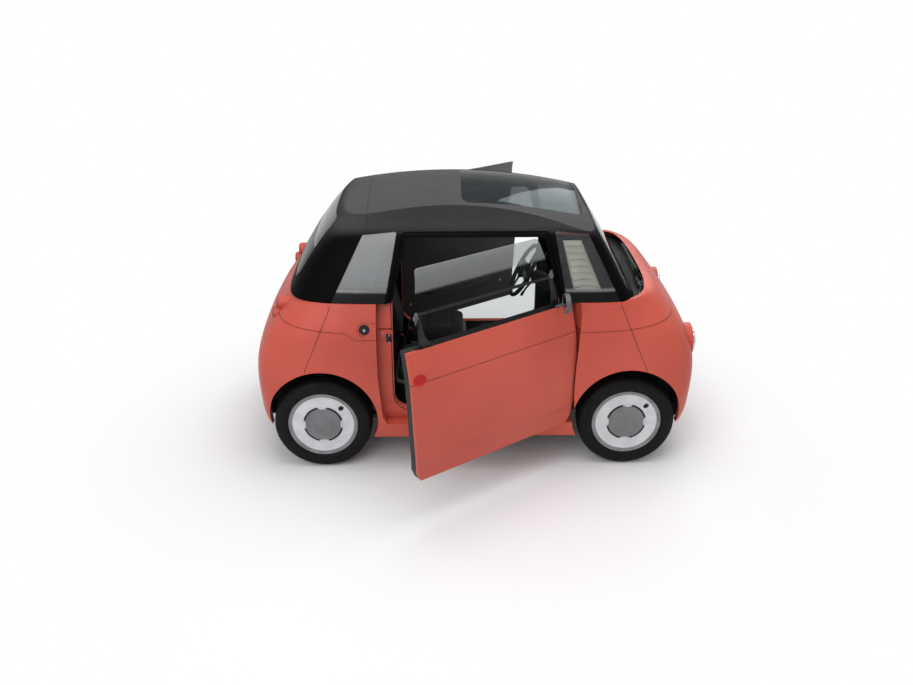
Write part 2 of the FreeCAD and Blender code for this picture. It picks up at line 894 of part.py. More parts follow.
tyreOutline = [
    ("seatRadius + spindleFit", "spindleFit - beadHalf"),
    ("flangeRadius + spindleFit", "spindleFit - beadHalf"),
    ("flangeRadius + spindleFit", "-beadHalf - rimWall"),
    ("flangeRadius + tyreRadius / 12", "-tyreWidth / 2"),
    ("tyreRadius - tyreRadius / 9", "-tyreWidth / 2 + rimWall / 2"),
    ("tyreRadius - tyreRadius / 30", "-tyreShoulder / 2"), ("tyreRadius", "-tyreShoulder / 3"),
    ("tyreRadius", "tyreShoulder / 3"), ("tyreRadius - tyreRadius / 30", "tyreShoulder / 2"),
    ("tyreRadius - tyreRadius / 9", "tyreWidth / 2 - rimWall / 2"),
    ("flangeRadius + tyreRadius / 12", "tyreWidth / 2"),
    ("flangeRadius + spindleFit", "beadHalf + rimWall"),
    ("flangeRadius + spindleFit", "beadHalf - spindleFit"),
    ("seatRadius + spindleFit", "beadHalf - spindleFit"),
]
rimOutline = [
    ("hubBore + spindleFit", "hubInner"), ("hubRadius", "hubInner"),
    ("hubRadius", "discFace - rimWall * 3"), ("wellRadius - rimWall", "discFace - rimWall * 3"),
    ("wellRadius - rimWall", "-beadHalf / 3"), ("seatRadius - rimWall * 2", "-beadHalf"),
    ("flangeRadius", "-beadHalf - rimWall"), ("flangeRadius", "-beadHalf"),
    ("seatRadius", "-beadHalf"), ("wellRadius", "-beadHalf / 3 - rimWall"),
    ("wellRadius", "beadHalf / 3 + rimWall"), ("seatRadius", "beadHalf"),
    ("flangeRadius", "beadHalf"), ("flangeRadius", "beadHalf + rimWall"),
    ("seatRadius", "beadHalf + rimWall"), ("seatRadius - rimWall * 2", "discFace"),
    ("capRadius + rimWall", "discFace"), ("capRadius + rimWall", "discFace - rimWall"),
    ("capRadius", "discFace - rimWall"), ("capRadius", "discFace + capStand"),
    ("capRadius - rimWall", "discFace + capStand + rimWall / 2"),
    ("0", "discFace + capStand + rimWall / 2"), ("0", "hubOuter"), ("hubBore + spindleFit", "hubOuter"),
]
corners = (("front", "right", 1, -1), ("front", "left", 1, 1),
           ("rear", "right", -1, -1), ("rear", "left", -1, 1))
for end, word, ahead, side in corners:
    outward = alongY if side > 0 else againstY
    for piece, outline in (("tyre", tyreOutline), ("rim", rimOutline)):
        wheel = revolved("%s_%s_%s" % (piece, end, word), outline)
        place(wheel, ("" if ahead > 0 else "-") + "wheelbase / 2",
              ("" if side > 0 else "-") + "trackWidth / 2", "tyreRadius", outward)
        keep("%s_%s_%s" % (piece, end, word), wheel)

# Front knuckles: hub carrier, spindle and steering arm, pierced along the leaning king pin.

def kingLine(side):
    """A point on the king pin's line and the way up it."""
    foot = FreeCAD.Vector(size("wheelbase") / 2, side * size("kingFootOut"), size("kingFootHeight"))
    lean = math.radians(size("kingTilt"))
    return foot, FreeCAD.Vector(0, -side * math.sin(lean), math.cos(lean))


def bridged(side, low, high, ahead, reach, foot, tall):
    """A level bar from low to high across the car, on the given side."""
    start = low if side > 0 else -high
    return Part.makeBox(reach, high - low, tall, FreeCAD.Vector(ahead, start, foot))


def knuckle(side):
    ahead = size("wheelbase") / 2
    hub = size("trackWidth") / 2 + size("hubInner") - size("wheelGap")
    thick = size("carrierThick")
    out = Y * side
    innerFace = FreeCAD.Vector(ahead, side * hub, size("tyreRadius"))
    carrier = Part.makeCylinder(size("carrierRadius"), thick, innerFace, out * -1)
    stub = size("hubOuter") - size("hubInner") + size("wheelGap") / 2
    spindle = Part.makeCylinder(size("hubBore"), stub, innerFace, out)
    upright = bridged(side, size("uprightOut"), hub - thick / 2, ahead - thick, thick * 2,
                      size("uprightFoot"), size("uprightTall"))
    level = size("rackHeight") + size("rackRadius") + size("wheelGap")
    wide = size("armThick")
    arm = bridged(side, size("tieEnd") - wide / 2, size("tieEnd") + wide / 2,
                  ahead - size("rackBehind") - wide / 2, size("rackBehind") + wide, level, wide / 2)
    bridge = bridged(side, size("tieEnd"), hub - thick / 2, ahead - wide / 2, wide, level, wide / 2)
    foot, up = kingLine(side)
    bore = Part.makeCylinder(size("strutRadius") + size("spindleFit"), size("overrun"),
                             foot + up * size("strutFoot"), up)
    socket = Part.makeSphere(size("ballRadius") + size("spindleFit") * 2, foot)
    whole = carrier.fuse([spindle, upright, arm, bridge])
    return largest(whole.cut([bore, socket, slab(0, size("uprightFoot"))]))


keep("knuckle_right", feature("knuckleRight", knuckle(-1)))
keep("knuckle_left", feature("knuckleLeft", knuckle(1)))

# Lower arms with their ball joints; struts on the king pin's line.


def lowerArm(side):
    foot, up = kingLine(side)
    inner = FreeCAD.Vector(foot.x, side * (size("railOut") + size("railWidth") / 2),
                           foot.z - size("ballRadius"))
    spread = size("armReach")
    thick = size("armThick") / 2
    outer = FreeCAD.Vector(foot.x, foot.y, inner.z)
    points = [outer + X * thick, outer - X * thick, inner - X * spread, inner - X * (spread / 2),
              FreeCAD.Vector(foot.x, side * (size("kingFootOut") + size("railOut")) / 2, inner.z),
              inner + X * (spread / 2), inner + X * spread]
    face = Part.Face(Part.makePolygon(points + points[:1]))
    plate = face.extrude(Z * thick).translated(Z * -thick)
    ball = Part.makeSphere(size("ballRadius"), foot)
    pad = Part.makeCylinder(size("ballRadius") * 3 / 2, thick, outer - Z * thick, Z)
    neck = Part.makeCylinder(size("ballRadius") / 2, foot.z - outer.z + thick, outer - Z * thick, Z)
    return plate.fuse(pad).fuse(neck).fuse(ball)


keep("front_lower_arms", feature("frontLowerArms", Part.makeCompound([lowerArm(-1), lowerArm(1)])))


def strut(side):
    foot, up = kingLine(side)
    tube = Part.makeCylinder(size("strutRadius"), size("strutTop") - size("strutFoot"),
                             foot + up * size("strutFoot"), up)
    piston = Part.makeCylinder(size("strutRodRadius"), size("overrun") * 2,
                               foot + up * size("strutFoot"), up)
    return tube.fuse(piston).common(slab(0, size("shelfHeight")))


# Ladder frame, floor and wheel housings.

rails = []
for word, sign in (("Right", "-"), ("Left", "")):
    rails.append(box("rail" + word, "-railReach", sign + "railOut - railWidth / 2",
                     "floorHeight - floorThick - railTall", "railReach * 2", "railWidth", "railTall"))
crosses = []
for word, at in (("Front", "railReach - railWidth"), ("FrontMid", "crossReach - railWidth"),
                 ("RearMid", "-crossReach"), ("Rear", "-railReach")):
    crosses.append(box("cross" + word, at, "-railOut", "floorHeight - floorThick - railTall",
                       "railWidth", "railOut * 2", "railTall"))
beamPierce = rod("beamPierce", "beamRadius + spindleFit", "railOut * 4", "beamAhead - wheelbase / 2",
                 "-railOut * 2", "floorHeight - floorThick - railTall / 2", alongY)
ladder = cut("ladderPierced", fuse("ladder", rails + crosses), beamPierce)


def housingTool(ahead, radius, low, high, side):
    start = min(side * low, side * high)
    at = FreeCAD.Vector(ahead * size("housingAhead"), start, size("housingHeight"))
    return Part.makeCylinder(radius, high - low, at, Y)


def housing(ahead, side):
    inner = size("housingRadius") - size("housingSheet")
    outer = housingTool(ahead, size("housingRadius"), size("housingInner"), size("housingOuter"), side)
    hollow = housingTool(ahead, inner, size("housingInner") + size("housingSheet"),
                         size("housingOuter") + size("overrun"), side)
    liner = outer.cut(hollow).common(slab(size("floorHeight") - size("floorThick"), beyond))
    door = Part.makeBox(size("archRadius"), size("overrun"), size("housingSkirt"),
                        FreeCAD.Vector(ahead * size("wheelbase") / 2 - size("archRadius") / 2,
                                       -size("overrun") / 2 + side * size("housingInner"), 0))
    foot, up = kingLine(side)
    if ahead < 0:
        foot = FreeCAD.Vector(-foot.x, side * size("beamArmOut"), 0)
        up = Z
    shaft = Part.makeCylinder(size("strutRadius") + size("wheelGap"), 2 * belt, foot, up)
    panel = nodes["side_panel_right" if side < 0 else "side_panel_left"].Shape
    return largest(liner.common(capInner).cut([door, shaft]).cut(panel))


capInner = lowerForm(size("capWall") + gap)
keep("wheel_housings", feature("wheelHousings", Part.makeCompound(
    [housing(ahead, side) for ahead in (1, -1) for side in (-1, 1)])))

wells = [housingTool(ahead, size("housingRadius"), size("housingInner"), size("overrun") * 2, side)
         for ahead in (1, -1) for side in (-1, 1)]
floorShape = slab(size("floorHeight") - size("floorThick"), size("floorHeight"))
floorShape = floorShape.common(sideInner).cut(sidePrism(
    [(size("toeBoardAt") + size("bulkheadThick"), 0), (beyond, 0), (beyond, belt),
     (size("toeBoardAt") + size("bulkheadThick"), belt)], 0, -beyond, beyond))
for well in wells:
    floorShape = floorShape.cut(well)


def tower(ahead, side):
    """An upright plate on the rail with a shelf over the wheel, which the strut's top meets."""
    middle = ahead * size("wheelbase") / 2
    wide = size("towerWide")
    foot = size("floorHeight") - size("floorThick")
    low = size("towerOut") - size("towerSheet") if side > 0 else -size("towerOut")
    plate = Part.makeBox(wide, size("towerSheet"), size("shelfHeight") + size("shelfThick") - foot,
                         FreeCAD.Vector(middle - wide / 2, low, foot))
    out = size("shelfOut") - size("towerOut")
    start = size("towerOut") if side > 0 else -size("shelfOut")
    shelf = Part.makeBox(wide, out, size("shelfThick"),
                         FreeCAD.Vector(middle - wide / 2, start, size("shelfHeight")))
    return plate.fuse(shelf)


towers = [tower(ahead, side) for ahead in (1, -1) for side in (-1, 1)]
for item in towers:
    floorShape = floorShape.cut(item)
keep("floor_pan", feature("floorPan", floorShape))
doc.recompute()
shaftRoom = Part.makeCylinder(size("shaftRadius") + size("wheelGap"), 2 * belt,
                              FreeCAD.Vector(size("wheelbase") / 2, -belt, size("tyreRadius")), Y)
standing = [item.cut(shaftRoom) for item in towers]
keep("chassis_frame", feature("chassisFrame", ladder.Shape.fuse(standing)))


def kingClearance(side):
    """Room round a strut's top."""
    foot, up = kingLine(side)
    return Part.makeCylinder(size("springRadius"), belt, foot, up)


thick = size("bulkheadThick")
bulkOutline = [(size("toeBoardAt"), size("floorHeight")), (size("toeBoardAt") + thick, size("floorHeight")),
               (size("toeBoardAt") + thick, size("bulkheadStep")),
               (size("bulkheadAt") + thick, size("bulkheadStep")),
               (size("bulkheadAt") + thick, size("cowlHeight")),
               (size("bulkheadAt"), size("cowlHeight")),
               (size("bulkheadAt"), size("bulkheadStep") + thick),
               (size("toeBoardAt"), size("bulkheadStep") + thick)]
bulkShape = sidePrism(bulkOutline, 0, -size("bodyWidth"), size("bodyWidth"))
bulkShape = bulkShape.common(lowerForm(size("sideWall"))).cut(wells + towers)
bulkhead = largest(bulkShape.cut([kingClearance(-1), kingClearance(1)]))
keep("bulkhead", feature("bulkheadPanel", bulkhead))

# Battery under the floor, motor with its gear between the front wheels, drive shafts.

keep("battery_box", box("batteryBox", "-batteryBehind - batteryLong / 2", "-batteryWide / 2",
                        "floorHeight - floorThick - batteryTall", "batteryLong", "batteryWide",
                        "batteryTall"))
motorCase = rod("motorCase", "motorRadius", "motorLong", "wheelbase / 2 + motorRadius / 2", "-motorLong / 2",
            "tyreRadius + motorRise", alongY)
gear = rod("gearCase", "motorRadius * gearShare", "motorLong * gearLongShare", "wheelbase / 2",
           "-motorLong * gearOutShare", "tyreRadius", alongY)
mountArm = box("motorMount", "wheelbase / 2 - motorRadius / 3", "-railOut + railWidth / 2",
               "floorHeight - floorThick - railTall / 2", "motorRadius", "railOut * 2 - railWidth",
               "railTall / 2")
keep("motor_block", fuse("motorBlock", [motorCase, gear, mountArm]))

shafts = []
for word, turn, sign in (("Right", againstY, "-"), ("Left", alongY, "")):
    low = sign + "motorLong / 2"
    bar = rod("shaft" + word, "shaftRadius", "uprightOut - wheelGap * 3 - motorLong / 2", "wheelbase / 2",
              low, "tyreRadius", turn)
    boot = rod("boot" + word, "bootRadius", "bootLong", "wheelbase / 2", low, "tyreRadius", turn)
    shafts.append(fuse("driveShaft" + word, [bar, boot]))
keep("drive_shafts", group("driveShafts", shafts))

# Steering: rack tube on the frame, rack with both tie rods sliding through it.

rackAt = "wheelbase / 2 - rackBehind"
tube = rod("rackTubeBody", "rackTube", "railOut * 2 - railWidth", rackAt, "-railOut + railWidth / 2",
           "rackHeight", alongY)
saddle = box("rackSaddle", "wheelbase / 2 - rackBehind - rackTube", "-railOut + railWidth / 2",
             "floorHeight - floorThick", "rackTube * 2", "railOut * 2 - railWidth",
             "rackHeight - floorHeight + floorThick")
tube = fuse("rackTubeWhole", [tube, saddle])
tubeBore = rod("rackTubeBore", "rackRadius + rackFit", "railOut * 4", rackAt, "-railOut * 2",
               "rackHeight", alongY)
keep("rack_housing", cut("rackHousing", tube, tubeBore))
keep("tie_rods", rod("tieRods", "rackRadius", "tieEnd * 2", rackAt, "-tieEnd", "rackHeight", alongY))

# Rear beam: cross tube, trailing arms to the hubs and their spindles; dampers to the towers.


def rearBeam():
    behind = -size("wheelbase") / 2
    pivot = behind + size("beamAhead")
    half = size("beamArmOut")
    axle = size("tyreRadius")
    level = size("floorHeight") - size("floorThick") - size("railTall") / 2
    hub = size("trackWidth") / 2 + size("hubInner") - size("wheelGap")
    whole = Part.makeCylinder(size("beamRadius"), 2 * half, FreeCAD.Vector(pivot, -half, level), Y)
    for side in (-1, 1):
        start = FreeCAD.Vector(pivot, side * half, level)
        end = FreeCAD.Vector(behind, side * half, axle)
        line = end - start
        out = Y * side
        face = FreeCAD.Vector(behind, side * hub, axle)
        stub = size("hubOuter") - size("hubInner") + size("wheelGap") / 2
        whole = whole.fuse([
            Part.makeCylinder(size("beamRadius"), line.Length, start, line),
            Part.makeSphere(size("beamRadius"), start),
            Part.makeCylinder(size("bootRadius"), hub - half, face, out * -1),
            Part.makeSphere(size("bootRadius"), end),
            Part.makeCylinder(size("carrierRadius"), size("carrierThick") / 2, face, out * -1),
            Part.makeCylinder(size("hubBore"), stub, face, out)])
    return whole


beamShape = rearBeam()
keep("rear_axle_beam", feature("rearAxleBeam", beamShape))


def damper(side):
    behind = -size("wheelbase") / 2
    foot = FreeCAD.Vector(behind, side * size("beamArmOut"), size("tyreRadius"))
    long = size("shelfHeight") - foot.z
    body = Part.makeCylinder(size("damperRadius"), long * size("damperShare"), foot, Z)
    piston = Part.makeCylinder(size("strutRodRadius"), long, foot, Z)
    return body.fuse(piston).cut(beamShape)


legs = [strut(-1), strut(1), largest(damper(-1)), largest(damper(1))]
keep("suspension_struts", feature("suspensionStruts", Part.makeCompound(legs)))

# Cabin: dashboard, steering wheel and column, seats, pedals, hand brake, shelf, ribbed pad.

dashOutline = [
    ("dashBack", "0"), ("dashBack", "dashTop - dashFoot - dashRound"),
    ("dashBack + dashRound / 2", "dashTop - dashFoot - dashRound / 4"),
    ("dashFront - dashRound", "dashTop - dashFoot"), ("dashFront", "dashTop - dashFoot"),
    ("dashFront", "0"), ("dashFront - dashRound * 2", "-dashRound"),
    ("dashBack + dashRound", "-dashRound"),
]
dashBody = padded("dashBody", "XZ_Plane", dashOutline, "dashHalf * 2")
place(dashBody, "0", "0", "dashFoot")
doc.recompute()
dashShape = dashBody.Shape.common(lowerForm(size("sideWall") + gap))
dashShape = dashShape.cut([kingClearance(-1), kingClearance(1), bulkhead])
keep("dashboard", feature("dashboard", largest(dashShape)))

steerAxis = FreeCAD.Vector(-math.cos(math.radians(size("wheelTilt"))), 0,
                           math.sin(math.radians(size("wheelTilt"))))
wheelCentre = FreeCAD.Vector(size("wheelCentreAhead"), size("seatOut"), size("wheelCentreHeight"))


def steeringWheel():
    grip = Part.makeTorus(size("gripRadius"), size("gripThick"), wheelCentre, steerAxis)
    boss = Part.makeCylinder(size("bossRadius"), size("bossThick"),
                             wheelCentre - steerAxis * size("bossThick"), steerAxis)
    whole = grip.fuse(boss)
    sideways = Y
    upward = steerAxis.cross(sideways)
    for angle in (0, 180, 270):
        turn = math.radians(angle)
        way = sideways * math.cos(turn) + upward * math.sin(turn)
        spoke = Part.makeBox(size("gripRadius"), size("spokeWide"), size("spokeThick"))
        spoke.translate(FreeCAD.Vector(0, -size("spokeWide") / 2, -size("spokeThick") / 2))
        frame = FreeCAD.Matrix(way.x, steerAxis.cross(way).x, steerAxis.x, wheelCentre.x,
                               way.y, steerAxis.cross(way).y, steerAxis.y, wheelCentre.y,
                               way.z, steerAxis.cross(way).z, steerAxis.z, wheelCentre.z, 0, 0, 0, 1)
        spoke = spoke.transformed(frame)
        spoke.translate(steerAxis * (-size("bossThick") / 3))
        whole = whole.fuse(spoke)
    return whole


keep("steering_wheel", feature("steeringWheel", steeringWheel()))
columnStart = wheelCentre - steerAxis * (size("bossThick") + size("wheelGap") / 10)
column = Part.makeCylinder(size("columnRadius"), size("columnLong"), columnStart, steerAxis * -1)
column = column.cut(nodes["dashboard"].Shape)
keep("steering_column", feature("steeringColumn", largest(column)))


def seat(word, sign, setback):
    front = "seatFront" + setback
    cushion = box("cushion" + word, front + " - cushionLong", sign + "seatOut - cushionWide / 2",
                  "cushionTop - cushionTall", "cushionLong", "cushionWide", "cushionTall")
    back = doc.addObject("Part::Box", "back" + word)
    bind(back, Length="backThick", Width="cushionWide", Height="backTall")
    place(back, front + " - cushionLong - panelGap / 2", sign + "seatOut + cushionWide / 2",
          "cushionTop - cushionTall + backThick / 3",
          FreeCAD.Rotation(Y, -size("backLean")) * FreeCAD.Rotation(Z, 180))
    plinth = box("plinth" + word, front + " - cushionLong + plinthInset",
                 sign + "seatOut - cushionWide / 2 + plinthInset", "floorHeight",
                 "cushionLong - plinthInset * 2", "cushionWide - plinthInset * 2",
                 "cushionTop - cushionTall - floorHeight")
    return cushion, back, plinth


seats = [seat("Right", "-", " - seatStagger"), seat("Left", "", "")]
for name, items in zip(("cushions", "backrests", "plinths"), zip(*seats)):
    keep("seat_" + name, group("seat" + name.title(), list(items)))

shelfFront = box("shelfFront", "-shelfFace - rearShelfThick", "-bodyWidth / 2", "floorHeight",
                 "rearShelfThick", "bodyWidth", "rearShelfHeight - floorHeight")
shelfTop = box("shelfTop", "-bodyLength / 2", "-bodyWidth / 2", "rearShelfHeight",
               "bodyLength / 2 - shelfFace", "bodyWidth", "rearShelfThick")
doc.recompute()
shelfShape = shelfFront.Shape.fuse(shelfTop.Shape).common(lowerForm(size("sideWall") + gap))
keep("rear_shelf", feature("rearShelf", largest(shelfShape.cut(wells + towers))))

leverBase = box("leverBase", "leverLong / 4", "-leverThick * 2", "floorHeight", "leverLong",
                "leverThick * 4", "cushionTop - floorHeight - cushionTall")
lever = box("leverArm", "leverLong / 3", "-leverThick / 2", "cushionTop - cushionTall",
            "leverThick", "leverThick", "leverLong * 3 / 4")
handBrake = fuse("handBrake", [leverBase, lever])

pedals = []
for word, across in (("Stop", "seatOut + pedalWide"), ("Go", "seatOut - pedalWide * 2")):
    pad = box("pad" + word, "toeBoardAt - pedalThick * 5", across + " - pedalWide / 2",
              "floorHeight + pedalTall", "pedalThick", "pedalWide", "pedalTall")
    stalk = box("stalk" + word, "toeBoardAt - pedalThick * 4", across + " - pedalThick / 2",
                "floorHeight + pedalTall * 3 / 2", "pedalThick * 4", "pedalThick", "pedalThick")
    pedals.append(fuse("pedal" + word, [pad, stalk]))
keep("driver_controls", group("driverControls", pedals + [handBrake]))

padOutline = [(size("padFootBack"), belt), (size("padFootFront"), belt),
              (size("padHeadFront"), size("padHead")), (size("padHeadBack"), size("padHead"))]
padRegion = sidePrism(padOutline, [0, 0, size("padRound"), size("padRound")], -beyond, 0)
padShape = roofForm(size("padInset"), 2 * gap).common(padRegion)
keep("pillar_pad", feature("pillarPad", padShape.cut(roofForm(size("padInset") + size("padThick"), 3 * gap))))

# Lamps, plate holder, wiper.


def pod(side, across, height, radius, proud, bulge, ahead, deep):
    """A round piece set into an end cap, its domed face standing proud of the skin."""
    probe = Part.makeCylinder(gap, beyond, FreeCAD.Vector(0, side * across, height), X * ahead)
    reach = max(ahead * corner.X for corner in lower.common(probe).Vertexes)
    start = FreeCAD.Vector(ahead * (reach - deep), side * across, height)
    barrel = Part.makeCylinder(radius, deep + proud, start, X * ahead)
    centre = FreeCAD.Vector(ahead * (reach + proud - bulge), side * across, height)
    return barrel.common(Part.makeSphere(bulge, centre))


def podPair(across, height, radius, proud, bulge, ahead, deep="lampDeep"):
    values = [size(name) for name in (across, height, radius, proud, bulge)]
    return [pod(side, *values, ahead, size(deep)) for side in (-1, 1)]


heads = podPair("lampAcross", "lampHeight", "lampRadius", "lampProud", "lampBulge", 1)
lows = podPair("lampAcross", "lowLampHeight", "lowLampRadius", "lowLampProud", "lowLampBulge", 1)
dots = podPair("dotAcross", "dotHeight", "dotRadius", "dotProud", "lowLampBulge", 1, "dotDeep")
tails = podPair("tailAcross", "tailHeight", "tailRadius", "tailProud", "tailBulge", -1)
tails += podPair("tailAcross", "tailLowHeight", "tailRadius", "tailLowProud", "tailBulge", -1)
lids = podPair("lampAcross", "lampHeight", "lidRadius", "lidProud", "lidBulge", 1)
upper = [tails[i].cut(tails[i + 2]) for i in (0, 1)]
tails = [largest(item) for item in upper] + tails[2:]
frontHoles = heads + lows + dots
keep("head_lamps", feature("headLamps", Part.makeCompound(heads)))
keep("small_lamps", feature("smallLamps", Part.makeCompound(lows + dots)))
keep("tail_lamps", feature("tailLamps", Part.makeCompound(tails)))

doc.recompute()
keep("front_cap", feature("frontCapPierced", largest(nodes["front_cap"].Shape.cut(frontHoles))))
clearOfSkin = lowerForm(-gap / 2)
lids = [largest(lid.cut([clearOfSkin, head])) for lid, head in zip(lids, heads)]
keep("lamp_lids", feature("lampLids", Part.makeCompound(lids)))
keep("rear_cap", feature("rearCapPierced", largest(nodes["rear_cap"].Shape.cut(tails))))

holder = Part.makeBox(size("holderDeep"), size("holderWide"), size("holderTall"),
                      FreeCAD.Vector(-size("bodyLength") / 2, -size("holderWide") / 2,
                                     size("holderHeight") - size("holderTall") / 2))
lightLong = size("holderWide") * size("lightShare")
lightFoot = FreeCAD.Vector(size("lightRadius") - size("bodyLength") / 2, -lightLong / 2,
                           size("holderHeight") + size("holderTall") / 2 + size("lightRadius") + gap)
plateLight = Part.makeCylinder(size("lightRadius"), lightLong, lightFoot, Y)
holderParts = [largest(item.cut(clearOfSkin)) for item in (holder, plateLight)]
keep("plate_holder", feature("plateHolder", Part.makeCompound(holderParts)))

# Cowl under the windscreen, between the end cap's rim and the bulkhead.

cowlShape = Part.makeBox(beyond, 2 * beyond, size("cowlThick"),
                         FreeCAD.Vector(size("cowlBack"), -beyond, size("cowlHeight")))
cowlShape = cowlShape.common(lowerForm(size("capWall") + gap / 2)).cut(
    [nodes["side_panel_right"].Shape, nodes["side_panel_left"].Shape])
keep("cowl", feature("cowlPanel", largest(cowlShape)))

wiperPost = rod("wiperPost", "wiperThick", "rimHeight - wiperHeight + wiperThick * 3", "wiperAhead",
                "-wiperLong / 2", "wiperHeight")
wiperArm = box("wiperArm", "wiperAhead - wiperThick", "-wiperLong / 2", "rimHeight + wiperThick * 2",
               "wiperThick * 2", "wiperLong", "wiperThick")
keep("wiper", fuse("wiperWhole", [wiperPost, wiperArm]))

# Checks, then the files.

doc.recompute()
for item in doc.Objects:
    bad = [word for word in item.State if word in ("Invalid", "Error")]
    if bad:
        raise RuntimeError("%s is %s" % (item.Label, bad))
os.makedirs("parts", exist_ok=True)
for name, item in sorted(nodes.items()):
    shape = item.Shape
    if shape.isNull() or not shape.isValid():
        raise RuntimeError("%s has no valid shape" % name)
for name, item in sorted(nodes.items()):
    item.Shape.exportStep("parts/%s.step" % name)
    print("%-20s %2d solids %10.0f mm3" % (name, len(item.Shape.Solids), item.Shape.Volume))
print(len(nodes), "nodes")
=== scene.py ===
import math

import bpy
from mathutils import Matrix, Vector


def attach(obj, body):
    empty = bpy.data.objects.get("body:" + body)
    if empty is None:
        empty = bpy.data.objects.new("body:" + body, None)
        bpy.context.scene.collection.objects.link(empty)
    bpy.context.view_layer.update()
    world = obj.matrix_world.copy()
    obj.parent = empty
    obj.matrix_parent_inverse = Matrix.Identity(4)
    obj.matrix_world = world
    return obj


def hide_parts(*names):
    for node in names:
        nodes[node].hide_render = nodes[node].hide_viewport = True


# Two-seat electric microcar, dressed over its packed construction.
# +X is forward, +Y the car's left and +Z up, in metres. The right door faces the camera.

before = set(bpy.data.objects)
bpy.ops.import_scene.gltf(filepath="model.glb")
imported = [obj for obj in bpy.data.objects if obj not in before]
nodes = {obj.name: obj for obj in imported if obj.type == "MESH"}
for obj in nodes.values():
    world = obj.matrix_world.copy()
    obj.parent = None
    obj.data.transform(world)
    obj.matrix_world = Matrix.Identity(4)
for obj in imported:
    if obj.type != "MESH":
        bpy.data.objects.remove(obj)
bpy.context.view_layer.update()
print("frame loaded,", len(nodes), "nodes")


# shader helpers

class Tone:
    # one socket of a shader, used in plain expressions
    def __init__(self, net, socket):
        self.net = net
        self.socket = socket

    def maths(self, kind, *values):
        return self.net.node("ShaderNodeMath", {"operation": kind}, *values)

    def to(self, kind, *others):
        # any operation with this tone as its first value
        return self.maths(kind, self, *others)

    def __add__(self, other):
        return self.to("ADD", other)

    def __sub__(self, other):
        return self.to("SUBTRACT", other)

    def __rsub__(self, other):
        return self.maths("SUBTRACT", other, self)

    def __mul__(self, other):
        return self.to("MULTIPLY", other)

    def __pow__(self, other):
        return self.to("POWER", other)

    def __abs__(self):
        return self.to("ABSOLUTE")

    def ramp(self, low, high, start=0.0, end=1.0):
        # smooth change from start to end while the tone goes from low to high
        return self.net.node("ShaderNodeMapRange", {"interpolation_type": "SMOOTHSTEP"},
                             self, low, high, start, end)

    __radd__ = __add__
    __rmul__ = __mul__


class Finish:
    # a material whose nodes are added one by one
    def __init__(self, name, **fixed):
        self.material = bpy.data.materials.new(name)
        self.material.use_nodes = True
        self.tree = self.material.node_tree
        self.shader = self.tree.nodes["Principled BSDF"]
        for key, value in fixed.items():
            words = " ".join(word.capitalize() for word in key.split("_"))
            socket = self.shader.inputs[words.replace("Ior", "IOR")]
            socket.default_value = (*value, 1.0) if isinstance(value, tuple) else value

    def node(self, kind, settings=None, *values, out=0, **named):
        item = self.tree.nodes.new(kind)
        for key, value in (settings or {}).items():
            if key == "stops":
                for stop, (place, colour) in zip(item.color_ramp.elements, value):
                    stop.position = place
                    stop.color = (*colour, 1.0)
            else:
                setattr(item, key, value)
        for key, value in list(enumerate(values)) + list(named.items()):
            self.feed(item.inputs[key], value)
        return Tone(self, item.outputs[out])

    def feed(self, socket, value):
        if isinstance(value, Tone):
            self.tree.links.new(value.socket, socket)
        elif isinstance(value, tuple) and socket.type == "RGBA":
            socket.default_value = (*value, 1.0)
        else:
            socket.default_value = value

    def place(self, shift=(0, 0, 0), turn=0.0):
        # object coordinates, moved by shift and then turned about Z
        coords = self.node("ShaderNodeTexCoord", None, out="Object")
        moved = self.node("ShaderNodeVectorMath", {"operation": "ADD"}, coords, shift)
        if not turn:
            return moved
        return self.node("ShaderNodeVectorRotate", {"rotation_type": "Z_AXIS"}, Vector=moved, Angle=turn)

    def split(self, vector):
        item = self.tree.nodes.new("ShaderNodeSeparateXYZ")
        self.feed(item.inputs[0], vector)
        return [Tone(self, output) for output in item.outputs]

    def noise(self, scale, detail=3.0, vector=None, roughness=0.5):
        return self.node("ShaderNodeTexNoise", None, Vector=vector or self.place(), Scale=scale,
                         Detail=detail, Roughness=roughness)

    def mix(self, factor, first, second):
        item = self.tree.nodes.new("ShaderNodeMix")
        item.data_type = "RGBA"
        self.feed(item.inputs["Factor"], factor)
        self.feed(item.inputs[6], first)
        self.feed(item.inputs[7], second)
        return Tone(self, item.outputs[2])

    def colour(self, tone):
        self.feed(self.shader.inputs["Base Color"], tone)

    def rough(self, tone):
        self.feed(self.shader.inputs["Roughness"], tone)

    def own(self):
        return Tone(self, self.shader.outputs[0])

    def blend(self, factor, first, second):
        # two shaders mixed by the factor make the material
        mixed = self.node("ShaderNodeMixShader", None, factor, first, second)
        self.feed(self.tree.nodes["Material Output"].inputs[0], mixed)

    def bump(self, height, strength=0.3, distance=0.001):
        tone = self.node("ShaderNodeBump", None, Strength=strength, Distance=distance, Height=height)
        self.feed(self.shader.inputs["Normal"], tone)

    def varied(self, dark, light, scale, roughLow, roughHigh, grain=0.0, grainScale=900.0):
        # slow colour change, uneven gloss and an optional moulded grain
        slow = self.noise(scale, 4.0)
        self.colour(self.mix(slow.ramp(0.35, 0.65), dark, light))
        self.rough(self.noise(scale * 6, 5.0).ramp(0.3, 0.7, roughLow, roughHigh))
        if grain:
            self.bump(self.noise(grainScale, 2.0), grain, 0.0006)
        return self


def shade(value):
    # a colour as seen on screen, 0 to 255, in the shader's own linear values
    return tuple((v / 255 / 12.92) if v < 10.4 else ((v / 255 + 0.055) / 1.055) ** 2.4 for v in value)


# finishes

paint = {"coral": shade((197, 86, 69)), "deep": shade((185, 77, 62)), "shadow": shade((132, 52, 43)),
         "inside": shade((20, 20, 21))}


